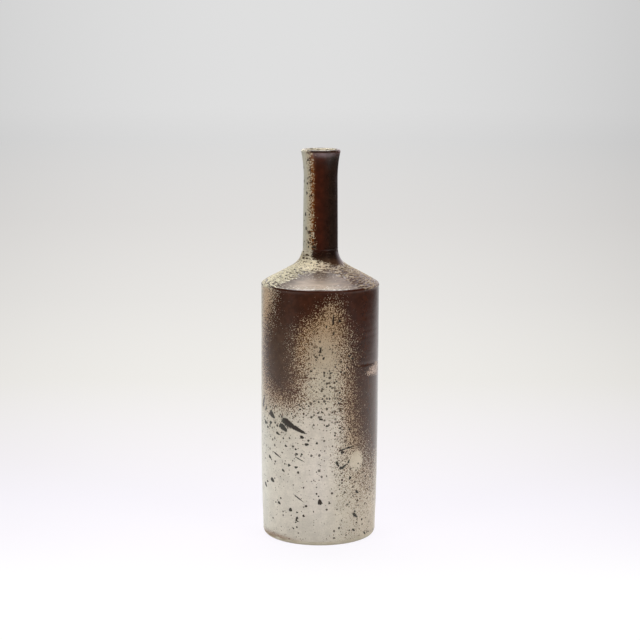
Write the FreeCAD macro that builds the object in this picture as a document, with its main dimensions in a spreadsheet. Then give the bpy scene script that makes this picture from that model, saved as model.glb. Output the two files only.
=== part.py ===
# A tall stoneware bottle vase: a thrown cylinder, a sloping shoulder with a crisp arris, and a slim
# neck with a rolled lip.
# It is thrown in three sections that seat on each other in scored V joints filled with slip.
# One glaze coats the outside from just above the foot to the top of the lip, and one lines the inside.
# Millimetres, +Z up, the origin at the middle of the foot on the surface that the vase stands on.
import FreeCAD, Part
import math
import os

import Sketcher
from FreeCAD import Vector

# Driving dimensions. Radii and heights are those of the clay, without its glaze.
# Heights run from the table and angles are in degrees.
SIZES = (
    ("body_height", 197.3, "table to the sharp corner of the shoulder, before it is rounded"),
    ("top_height", 102.7, "corner of the shoulder to the top of the glazed lip"),
    ("body_radius", 45.0, "outside of the straight part of the wall"),
    ("body_wall", 4.5, "thickness of the wall"),
    ("side_height", 91.0, "height below which the wall draws in towards the foot"),
    ("side_round", 2435.0, "radius of the long curve that draws the wall in"),
    ("foot_round", 2.5, "rounding of the foot's outer edge"),
    ("foot_width", 7.0, "flat part of the foot that stands on the table"),
    ("recess_depth", 2.2, "depth of the recess turned under the foot"),
    ("recess_slope", 3.0, "width of the sloping side of that recess"),
    ("floor_thickness", 6.0, "clay between the recess and the inside"),
    ("floor_round", 9.0, "hollow where the floor meets the wall inside"),
    ("shoulder_angle", 28.4, "slope of the shoulder"),
    ("shoulder_wall", 4.5, "thickness of the shoulder, square to its face"),
    ("arris_round", 1.4, "rounding of the shoulder's corner"),
    ("corner_round", 5.0, "hollow inside that corner"),
    ("root_round", 17.0, "sweep of the shoulder into the neck, outside"),
    ("bore_root_round", 20.0, "sweep of the shoulder into the neck, inside"),
    ("waist_radius", 12.6, "outside of the neck at its narrowest"),
    ("neck_taper", 0.6, "taper of the neck towards its waist"),
    ("neck_wall", 3.0, "thickness of the neck at its waist"),
    ("flare_height", 23.0, "waist to the top of the lip"),
    ("flare_round", 100.0, "outward sweep of the neck below the lip"),
    ("bore_flare_round", 60.0, "the same sweep inside the mouth"),
    ("lip_round", 1.2, "roll of the lip"),
    ("skirt_height", 6.5, "straight wall that the shoulder section has below its inside corner"),
    ("collar_height", 4.0, "straight neck that the shoulder section has above its sweep"),
    ("body_seat_depth", 2.2, "depth of the V in the body's rim"),
    ("neck_seat_depth", 1.4, "depth of the V in the collar's rim"),
    ("slip", 0.5, "height of the slip that fills each V joint"),
    ("glaze", 0.4, "thickness of the glaze"),
    ("bare_strip", 0.9, "bare clay between the foot's rounding and the glaze"),
)

# Places worked out from the driving dimensions: the centres of the section's arcs, the directions in
# which neighbouring arcs touch, and the heights of the two joints.
PLACES = (
    ("side_x", "size.body_radius - size.side_round"),
    ("foot_x", "place.side_x + sqrt((size.side_round - size.foot_round)^2"
               " - (size.side_height - size.foot_round)^2)"),
    ("glaze_line", "size.foot_round + size.bare_strip"),
    ("hollow_round", "size.side_round - size.body_wall"),
    ("floor_top", "size.recess_depth + size.floor_thickness"),
    ("floor_z", "place.floor_top + size.floor_round"),
    ("floor_x", "place.side_x + sqrt((place.hollow_round - size.floor_round)^2"
                " - (size.side_height - place.floor_z)^2)"),
    ("arris_x", "size.body_radius - size.arris_round"),
    ("arris_z", "size.body_height - size.arris_round * (1 - sin(size.shoulder_angle))"
                " / cos(size.shoulder_angle)"),
    ("corner_x", "size.body_radius - size.body_wall - size.corner_round"),
    ("corner_z", "size.body_height + (size.body_radius - place.corner_x) * tan(size.shoulder_angle)"
                 " - (size.shoulder_wall + size.corner_round) / cos(size.shoulder_angle)"),
    ("lip_height", "size.body_height + size.top_height"),
    ("waist_z", "place.lip_height - size.flare_height"),
    ("root_x", "(size.waist_radius + size.root_round / cos(size.neck_taper)"
               " + (place.waist_z - size.body_height"
               " - size.body_radius * tan(size.shoulder_angle)"
               " - size.root_round / cos(size.shoulder_angle)) * tan(size.neck_taper))"
               " / (1 - tan(size.shoulder_angle) * tan(size.neck_taper))"),
    ("root_z", "size.body_height + (size.body_radius - place.root_x) * tan(size.shoulder_angle)"
               " + size.root_round / cos(size.shoulder_angle)"),
    ("bore_radius", "size.waist_radius - size.neck_wall"),
    ("bore_root_x", "place.bore_radius + size.bore_root_round"),
    ("bore_root_z", "size.body_height + (size.body_radius - place.bore_root_x)"
                    " * tan(size.shoulder_angle)"
                    " + (size.bore_root_round - size.shoulder_wall) / cos(size.shoulder_angle)"),
    ("flare_x", "size.waist_radius + size.flare_round * cos(size.neck_taper)"),
    ("flare_z", "place.waist_z + size.flare_round * sin(size.neck_taper)"),
    ("lip_z", "place.lip_height - size.glaze - size.lip_round"),
    ("flare_up", "(place.lip_z - place.flare_z) / (size.flare_round + size.lip_round)"),
    ("flare_across", "-sqrt(1 - place.flare_up^2)"),
    ("lip_x", "place.flare_x + (size.flare_round + size.lip_round) * place.flare_across"),
    ("bore_flare_x", "place.bore_radius + size.bore_flare_round"),
    ("bore_flare_across", "(place.lip_x - place.bore_flare_x)"
                          " / (size.bore_flare_round - size.lip_round)"),
    ("bore_flare_up", "sqrt(1 - place.bore_flare_across^2)"),
    ("bore_flare_z", "place.lip_z - (size.bore_flare_round - size.lip_round)"
                     " * place.bore_flare_up"),
    ("body_joint", "place.corner_z - size.skirt_height"),
    ("neck_joint", "max(place.root_z; place.bore_root_z) + size.collar_height"),
)

ANTICLOCKWISE = 1
CLOCKWISE = -1


def write_sizes(document):
    """Put the driving dimensions in a sheet, each cell with an alias."""
    sheet = document.addObject("Spreadsheet::Sheet", "size")
    for row, (alias, value, meaning) in enumerate(SIZES, start=1):
        sheet.set(f"A{row}", meaning)
        sheet.set(f"B{row}", str(value))
        sheet.setAlias(f"B{row}", alias)
    document.recompute()
    return sheet


def write_places(document):
    """Work out the section's centres and joint heights from the sheet, as bound properties."""
    places = document.addObject("App::VarSet", "place")
    for name, formula in PLACES:
        places.addProperty("App::PropertyFloat", name)
        places.setExpression(name, formula.replace("place.", ""))
        document.recompute()
    return places


def along(centre, radius, across, up):
    """The point of an arc that lies in a given direction from the arc's centre."""
    return (f"place.{centre}_x + ({radius}) * ({across})", f"place.{centre}_z + ({radius}) * ({up})")


class OuterFace:
    """The outside of the vase, as points and radii: the clay's own, or those of a coat on it."""

    def __init__(self, coat="0"):
        self.side_radius = f"size.side_round + {coat}"
        self.arris_radius = f"size.arris_round + {coat}"
        self.root_radius = f"size.root_round - {coat}"
        self.flare_radius = f"size.flare_round - {coat}"
        self.lip_radius = f"size.lip_round + {coat}"
        self.side_top = (f"size.body_radius + {coat}", "size.side_height")
        self.arris_wall = along("arris", self.arris_radius, "1", "0")
        self.arris_cone = along(
            "arris", self.arris_radius, "sin(size.shoulder_angle)", "cos(size.shoulder_angle)")
        self.root_cone = along(
            "root", self.root_radius, "-sin(size.shoulder_angle)", "-cos(size.shoulder_angle)")
        self.root_neck = along(
            "root", self.root_radius, "-cos(size.neck_taper)", "-sin(size.neck_taper)")
        self.waist = along(
            "flare", self.flare_radius, "-cos(size.neck_taper)", "-sin(size.neck_taper)")
        self.flare_end = along("flare", self.flare_radius, "place.flare_across", "place.flare_up")
        self.lip_top = along("lip", self.lip_radius, "0", "1")

    def side_at(self, height):
        """The wall's point at a height within the long curve towards the foot."""
        across = f"place.side_x + sqrt(({self.side_radius})^2 - (size.side_height - {height})^2)"
        return (across, height)


class InnerFace:
    """The inside of the vase, as points and radii: the clay's own, or those of a coat on it."""

    def __init__(self, coat="0"):
        self.floor_radius = f"size.floor_round - {coat}"
        self.side_radius = f"place.hollow_round - {coat}"
        self.corner_radius = f"size.corner_round - {coat}"
        self.root_radius = f"size.bore_root_round + {coat}"
        self.flare_radius = f"size.bore_flare_round + {coat}"
        self.lip_radius = f"size.lip_round + {coat}"
        self.floor_axis = ("0", f"place.floor_top + {coat}")
        self.floor_edge = along("floor", self.floor_radius, "0", "-1")
        reach = f"({self.side_radius}) / (place.hollow_round - size.floor_round)"
        self.side_foot = (
            f"place.side_x + (place.floor_x - place.side_x) * {reach}",
            f"size.side_height - (size.side_height - place.floor_z) * {reach}")
        self.side_top = (f"size.body_radius - size.body_wall - {coat}", "size.side_height")
        self.corner_wall = along("corner", self.corner_radius, "1", "0")
        self.corner_cone = along(
            "corner", self.corner_radius, "sin(size.shoulder_angle)", "cos(size.shoulder_angle)")
        self.root_cone = along(
            "bore_root", self.root_radius, "-sin(size.shoulder_angle)", "-cos(size.shoulder_angle)")
        self.root_bore = along("bore_root", self.root_radius, "-1", "0")
        self.flare_foot = along("bore_flare", self.flare_radius, "-1", "0")
        self.flare_end = along(
            "bore_flare", self.flare_radius, "place.bore_flare_across", "place.bore_flare_up")
        self.lip_top = along("lip", self.lip_radius, "0", "1")


class Seat:
    """A V joint between two clay sections: a groove in the lower rim and a tongue in the upper one.

    The tongue stands the slip's height above the groove all the way across the wall.
    """

    def __init__(self, joint, depth, inner_radius, outer_radius):
        self.joint = joint
        self.depth = depth
        self.inner_radius = inner_radius
        self.outer_radius = outer_radius

    def rim(self, lift="0"):
        """The V's inner edge, its point and its outer edge, raised by a lift."""
        height = f"{self.joint} + {lift}"
        outer = self.outer_radius(height)
        middle = f"({self.inner_radius} + {self.outer_radius(self.joint)}) / 2"
        return (
            (self.inner_radius, height),
            (middle, f"{height} - {self.depth}"),
            (outer, height))


def wall_radius(_height):
    """The outside of the straight wall, the same at every height."""
    return "size.body_radius"


def neck_radius(height):
    """The outside of the tapered neck at a height."""
    return f"(size.waist_radius + (place.waist_z - ({height})) * tan(size.neck_taper))"


BODY_SEAT = Seat(
    "place.body_joint", "size.body_seat_depth", "(size.body_radius - size.body_wall)", wall_radius)
NECK_SEAT = Seat(
    "place.neck_joint", "size.neck_seat_depth", "place.bore_radius", neck_radius)


class Turning:
    """One turned piece: a closed half section in the XZ plane, and the body that it sweeps out.

    Each step goes on from the one before it, and the first goes on from the last, which closes the
    section.
    """

    def __init__(self, document, label):
        self.body = document.addObject("PartDesign::Body", label)
        self.body.Label = label
        self.sketch = self.body.newObject("Sketcher::SketchObject", f"{label}_section")
        roles = {feature.Role: feature for feature in self.body.Origin.OriginFeatures}
        self.sketch.AttachmentSupport = [(roles["XZ_Plane"], "")]
        self.sketch.MapMode = "FlatFace"
        self.steps = []

    def line(self, point):
        """Go straight on to a point."""
        self.steps.append((point, None, None))
        return self

    def arc(self, point, radius, way):
        """Go on to a point along an arc that turns the given way."""
        self.steps.append((point, radius, way))
        return self

    def lines(self, points):
        """Go straight from each point to the next."""
        for point in points:
            self.line(point)
        return self

    def value(self, formula):
        """A formula's present value, as a number."""
        result = self.sketch.evalExpression(formula)
        return float(getattr(result, "Value", result))

    def edge(self, start, end, radius, way):
        """A sketch edge in its true place, with the places of its first and last points."""
        begin = Vector(self.value(start[0]), self.value(start[1]), 0)
        finish = Vector(self.value(end[0]), self.value(end[1]), 0)
        if radius is None:
            return Part.LineSegment(begin, finish), 1, 2
        size = self.value(radius)
        chord = finish - begin
        across = Vector(-chord.y, chord.x, 0).normalize()
        centre = (begin + finish) * 0.5 + across * way * math.sqrt(size ** 2 - (chord.Length / 2) ** 2)
        first, last = (begin, finish) if way == ANTICLOCKWISE else (finish, begin)
        angles = [math.atan2(spot.y - centre.y, spot.x - centre.x) for spot in (first, last)]
        circle = Part.Circle(centre, Vector(0, 0, 1), size)
        arc = Part.ArcOfCircle(circle, angles[0], angles[1])
        return (arc, 1, 2) if way == ANTICLOCKWISE else (arc, 2, 1)

    def bind(self, index, formula):
        """Tie a sketch dimension to the sheet."""
        self.sketch.setExpression(f"Constraints[{index}]", formula)

    def pin(self, edge, end, point):
        """Hold one end of an edge where its formulas say."""
        for formula, kind, axis in zip(point, ("DistanceX", "DistanceY"), (-2, -1)):
            if formula == "0":
                self.sketch.addConstraint(Sketcher.Constraint("PointOnObject", edge, end, axis))
                continue
            index = self.sketch.addConstraint(
                Sketcher.Constraint(kind, -1, 1, edge, end, self.value(formula)))
            self.bind(index, formula)

    def turn(self):
        """Close the section, tie it to the sheet and sweep it round the vase's axis."""
        points = [point for point, _radius, _way in self.steps]
        ends = []
        for number, (point, radius, way) in enumerate(self.steps):
            shape, first, last = self.edge(points[number - 1], point, radius, way)
            index = self.sketch.addGeometry(shape, False)
            ends.append((index, first, last))
            self.pin(index, last, point)
            if radius is not None:
                size = self.sketch.addConstraint(
                    Sketcher.Constraint("Radius", index, self.value(radius)))
                self.bind(size, radius)
        for (before, _first, last), (after, first, _last) in zip(ends, ends[1:] + ends[:1]):
            self.sketch.addConstraint(Sketcher.Constraint("Coincident", before, last, after, first))
        turned = self.body.newObject("PartDesign::Revolution", f"{self.body.Label}_turned")
        turned.Profile = self.sketch
        turned.ReferenceAxis = (self.sketch, ["V_Axis"])
        turned.Angle = 360
        self.body.Placement = FreeCAD.Placement()
        return self.body


def body_section(document):
    """The thrown cylinder: wall, floor, and the foot with its turned recess."""
    outside, inside = OuterFace(), InnerFace()
    reach = "size.side_round / (size.side_round - size.foot_round)"
    foot_side = (
        f"place.side_x + (place.foot_x - place.side_x) * {reach}",
        f"size.side_height - (size.side_height - size.foot_round) * {reach}")
    ring_inside = "place.foot_x - size.foot_width"
    piece = Turning(document, "body_section")
    piece.line(("0", "size.recess_depth"))
    piece.line((f"{ring_inside} - size.recess_slope", "size.recess_depth"))
    piece.lines(((ring_inside, "0"), ("place.foot_x", "0")))
    piece.arc(foot_side, "size.foot_round", ANTICLOCKWISE)
    piece.arc(outside.side_top, outside.side_radius, ANTICLOCKWISE)
    piece.lines(reversed(BODY_SEAT.rim()))
    piece.line(inside.side_top)
    piece.arc(inside.side_foot, inside.side_radius, CLOCKWISE)
    piece.arc(inside.floor_edge, inside.floor_radius, CLOCKWISE)
    piece.line(inside.floor_axis)
    return piece.turn()


def shoulder_section(document):
    """The sloping shoulder, from the wall below the arris to the collar that carries the neck."""
    outside, inside = OuterFace(), InnerFace()
    piece = Turning(document, "shoulder_section")
    piece.lines(BODY_SEAT.rim("size.slip"))
    piece.line(outside.arris_wall)
    piece.arc(outside.arris_cone, outside.arris_radius, ANTICLOCKWISE)
    piece.line(outside.root_cone)
    piece.arc(outside.root_neck, outside.root_radius, CLOCKWISE)
    piece.lines(reversed(NECK_SEAT.rim()))
    piece.line(inside.root_bore)
    piece.arc(inside.root_cone, inside.root_radius, ANTICLOCKWISE)
    piece.line(inside.corner_cone)
    piece.arc(inside.corner_wall, inside.corner_radius, CLOCKWISE)
    return piece.turn()


def neck_section(document):
    """The neck, drawn in to its waist and flared to the rolled lip."""
    outside, inside = OuterFace(), InnerFace()
    piece = Turning(document, "neck_section")
    piece.lines(NECK_SEAT.rim("size.slip"))
    piece.line(outside.waist)
    piece.arc(outside.flare_end, outside.flare_radius, CLOCKWISE)
    piece.arc(outside.lip_top, outside.lip_radius, ANTICLOCKWISE)
    piece.arc(inside.flare_end, inside.lip_radius, ANTICLOCKWISE)
    piece.arc(inside.flare_foot, inside.flare_radius, ANTICLOCKWISE)
    return piece.turn()


def slip_joint(document, label, seat):
    """The slip that fills one V joint."""
    piece = Turning(document, label)
    piece.lines(seat.rim())
    piece.lines(reversed(seat.rim("size.slip")))
    return piece.turn()


def outer_glaze(document):
    """The coat on the outside, from just above the foot to the top of the lip."""
    clay, coat = OuterFace(), OuterFace("size.glaze")
    piece = Turning(document, "outer_glaze")
    piece.arc(clay.side_at("place.glaze_line"), clay.side_radius, CLOCKWISE)
    piece.line(coat.side_at("place.glaze_line"))
    piece.arc(coat.side_top, coat.side_radius, ANTICLOCKWISE)
    piece.line(coat.arris_wall)
    piece.arc(coat.arris_cone, coat.arris_radius, ANTICLOCKWISE)
    piece.line(coat.root_cone)
    piece.arc(coat.root_neck, coat.root_radius, CLOCKWISE)
    piece.line(coat.waist)
    piece.arc(coat.flare_end, coat.flare_radius, CLOCKWISE)
    piece.arc(coat.lip_top, coat.lip_radius, ANTICLOCKWISE)
    piece.line(clay.lip_top)
    piece.arc(clay.flare_end, clay.lip_radius, CLOCKWISE)
    piece.arc(clay.waist, clay.flare_radius, ANTICLOCKWISE)
    piece.line(clay.root_neck)
    piece.arc(clay.root_cone, clay.root_radius, ANTICLOCKWISE)
    piece.line(clay.arris_cone)
    piece.arc(clay.arris_wall, clay.arris_radius, CLOCKWISE)
    piece.line(clay.side_top)
    return piece.turn()


def liner_glaze(document):
    """The coat inside, from the floor to the top of the lip, where it meets the outer one."""
    clay, coat = InnerFace(), InnerFace("size.glaze")
    piece = Turning(document, "liner_glaze")
    piece.line(clay.floor_axis)
    piece.line(clay.floor_edge)
    piece.arc(clay.side_foot, clay.floor_radius, ANTICLOCKWISE)
    piece.arc(clay.side_top, clay.side_radius, ANTICLOCKWISE)
    piece.line(clay.corner_wall)
    piece.arc(clay.corner_cone, clay.corner_radius, ANTICLOCKWISE)
    piece.line(clay.root_cone)
    piece.arc(clay.root_bore, clay.root_radius, CLOCKWISE)
    piece.line(clay.flare_foot)
    piece.arc(clay.flare_end, clay.flare_radius, CLOCKWISE)
    piece.arc(clay.lip_top, clay.lip_radius, CLOCKWISE)
    piece.line(coat.lip_top)
    piece.arc(coat.flare_end, coat.lip_radius, ANTICLOCKWISE)
    piece.arc(coat.flare_foot, coat.flare_radius, ANTICLOCKWISE)
    piece.line(coat.root_bore)
    piece.arc(coat.root_cone, coat.root_radius, ANTICLOCKWISE)
    piece.line(coat.corner_cone)
    piece.arc(coat.corner_wall, coat.corner_radius, CLOCKWISE)
    piece.line(coat.side_top)
    piece.arc(coat.side_foot, coat.side_radius, CLOCKWISE)
    piece.arc(coat.floor_edge, coat.floor_radius, CLOCKWISE)
    piece.line(coat.floor_axis)
    return piece.turn()


def check(document, pieces):
    """Stop if anything in the document failed, or if a piece isn't one sound solid."""
    for item in document.Objects:
        faults = {"Invalid", "Error"} & set(item.State)
        if faults:
            raise RuntimeError(f"{item.Label}: {sorted(faults)}")
    for piece in pieces:
        if piece.Shape.isNull() or not piece.Shape.isValid():
            raise RuntimeError(f"{piece.Label}: its shape isn't sound")
        if len(piece.Shape.Solids) != 1:
            raise RuntimeError(f"{piece.Label}: {len(piece.Shape.Solids)} solids")


def main():
    document = FreeCAD.newDocument("bottle_vase")
    write_sizes(document)
    write_places(document)
    pieces = [
        body_section(document),
        slip_joint(document, "shoulder_slip_joint", BODY_SEAT),
        shoulder_section(document),
        slip_joint(document, "neck_slip_joint", NECK_SEAT),
        neck_section(document),
        outer_glaze(document),
        liner_glaze(document),
    ]
    document.recompute()
    check(document, pieces)
    os.makedirs("parts", exist_ok=True)
    for piece in pieces:
        piece.Shape.exportStep(f"parts/{piece.Label}.step")
        print(f"{piece.Label}: {piece.Shape.Volume:.1f} mm3")


main()
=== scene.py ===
"""Glazes, bare clay and studio of a tall stoneware bottle vase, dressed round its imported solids."""
import logging
import math
from collections.abc import Iterable
from dataclasses import dataclass, field
from enum import Enum, auto
from functools import reduce

import bmesh
import bpy
import numpy as np
from mathutils import Matrix, Vector


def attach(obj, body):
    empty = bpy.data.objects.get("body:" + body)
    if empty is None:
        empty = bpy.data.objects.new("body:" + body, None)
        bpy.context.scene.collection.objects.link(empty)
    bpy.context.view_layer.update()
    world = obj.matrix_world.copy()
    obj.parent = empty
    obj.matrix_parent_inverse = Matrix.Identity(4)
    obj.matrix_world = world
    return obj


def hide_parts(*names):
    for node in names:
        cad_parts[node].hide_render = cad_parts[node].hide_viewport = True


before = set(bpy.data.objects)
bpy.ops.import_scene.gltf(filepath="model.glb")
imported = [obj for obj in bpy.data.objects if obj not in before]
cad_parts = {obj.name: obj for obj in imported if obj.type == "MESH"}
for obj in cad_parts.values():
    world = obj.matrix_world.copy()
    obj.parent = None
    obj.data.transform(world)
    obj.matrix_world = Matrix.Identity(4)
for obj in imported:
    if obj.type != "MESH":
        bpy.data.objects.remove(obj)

logging.basicConfig(level=logging.INFO, format="%(name)s: %(message)s")
log = logging.getLogger("bottle_vase")

MM = 0.001
TURN = 2.0 * math.pi
WALL_RADIUS = 45.4
WALL_ROUND = TURN * WALL_RADIUS
ONCE_ROUND = 360.0
ROOT_BODY = "root"
UV_NAME = "OFBake"
SHARP_BEND = 0.8
SEAM_JOIN = 1e-6
SAME_POINT = 1e-6
SEEN_BACKDROP = (223, 223, 223)
NOISE_SWING = 3.0
GLAZED = 0.5


def linear(red: float, green: float, blue: float) -> tuple[float, float, float, float]:
    """Turn a screen colour of 0 to 255 into the linear colour that a shader takes.

    Args:
        red: red of the screen colour.
        green: green of the screen colour.
        blue: blue of the screen colour.

    Returns:
        The linear red, green, blue and an alpha of one.
    """
    def channel(value: float) -> float:
        """One channel's linear value."""
        share = value / 255.0
        return share / 12.92 if share <= 0.04045 else ((share + 0.055) / 1.055) ** 2.4

    return (channel(red), channel(green), channel(blue), 1.0)


def smooth(low: float, high: float, values: np.ndarray) -> np.ndarray:
    """Rise softly from 0 at low to 1 at high.

    Args:
        low: value at which the result is 0.
        high: value at which the result is 1.
        values: the values to grade.

    Returns:
        The graded values.
    """
    share = np.clip((values - low) / (high - low), 0.0, 1.0)
    return share * share * (3.0 - 2.0 * share)


def window(low: float, risen: float, falling: float, end: float,
           values: np.ndarray) -> np.ndarray:
    """Rise softly from low to risen, and fall softly from falling to end."""
    return smooth(low, risen, values) * smooth(end, falling, values)


def laid_over(ground: np.ndarray, colour: tuple[float, ...], share: np.ndarray) -> np.ndarray:
    """Lay a colour over the points' tones, as far as each point's share says."""
    cover = share[:, None]
    return ground * (1.0 - cover) + np.array(colour) * cover


class Slot(Enum):
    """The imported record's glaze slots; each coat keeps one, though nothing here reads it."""

    OUTER_GLAZE = "outer_glaze"
    LINER_GLAZE = "liner_glaze"


class Stretch(Enum):
    """The half section's stretches, from the glaze line up, over the lip and down inside."""

    SIDE = auto()
    WALL = auto()
    ARRIS = auto()
    CONE = auto()
    ROOT = auto()
    NECK = auto()
    FLARE = auto()
    LIP = auto()
    MOUTH = auto()
    BORE = auto()
    BORE_ROOT = auto()
    CEILING = auto()
    CORNER = auto()
    INNER_WALL = auto()
    HOLLOW = auto()
    FLOOR_ROUND = auto()
    FLOOR = auto()


@dataclass(frozen=True)
class VaseSizes:
    """The clay's section in millimetres and degrees, as the solids have it."""

    body_height: float = 197.3
    top_height: float = 102.7
    body_radius: float = 45.0
    body_wall: float = 4.5
    side_height: float = 91.0
    side_round: float = 2435.0
    foot_round: float = 2.5
    recess_depth: float = 2.2
    floor_thickness: float = 6.0
    floor_round: float = 9.0
    shoulder_angle: float = 28.4
    shoulder_wall: float = 4.5
    arris_round: float = 1.4
    corner_round: float = 5.0
    root_round: float = 17.0
    bore_root_round: float = 20.0
    waist_radius: float = 12.6
    neck_taper: float = 0.6
    neck_wall: float = 3.0
    flare_height: float = 23.0
    flare_round: float = 100.0
    bore_flare_round: float = 60.0
    lip_round: float = 1.2
    glaze: float = 0.4
    bare_strip: float = 0.9


@dataclass
class Line:
    """Points of a half section in millimetres, with their faces' directions."""

    points: list[tuple[float, float]] = field(default_factory=list)
    normals: list[tuple[float, float]] = field(default_factory=list)

    def add(self, radius: float, height: float, across: float, up: float) -> None:
        """Add a point and its face's direction, unless the point is already there.

        Args:
            radius: the point's distance from the axis.
            height: its height.
            across: how far the face looks outwards.
            up: how far it looks up.
        """
        if self.points and math.dist(self.points[-1], (radius, height)) < SAME_POINT:
            return
        self.points.append((radius, height))
        self.normals.append((across, up))

    def run(self, start: tuple[float, float], end: tuple[float, float], step: float) -> None:
        """Add a straight run; its face looks to the right of the way that it goes.

        Args:
            start: radius and height of its first point.
            end: radius and height of its last point.
            step: longest distance between two points.
        """
        length = math.dist(start, end)
        across, up = (end[1] - start[1]) / length, -(end[0] - start[0]) / length
        count = max(1, math.ceil(length / step))
        for number in range(count + 1):
            share = number / count
            self.add(start[0] + (end[0] - start[0]) * share,
                     start[1] + (end[1] - start[1]) * share, across, up)

    def arc(self, centre: tuple[float, float], radius: float, first: float, last: float,
            facing: float, step: float) -> None:
        """Add an arc.

        Args:
            centre: radius and height of its centre.
            radius: its own radius.
            first: direction of its first point from the centre, in radians.
            last: direction of its last point.
            facing: 1 where its face looks away from the centre, -1 where it looks at it.
            step: longest distance between two points.
        """
        count = max(1, math.ceil(abs(last - first) * radius / step))
        for number in range(count + 1):
            turn = first + (last - first) * number / count
            across, up = math.cos(turn), math.sin(turn)
            self.add(centre[0] + radius * across, centre[1] + radius * up,
                     facing * across, facing * up)


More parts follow.
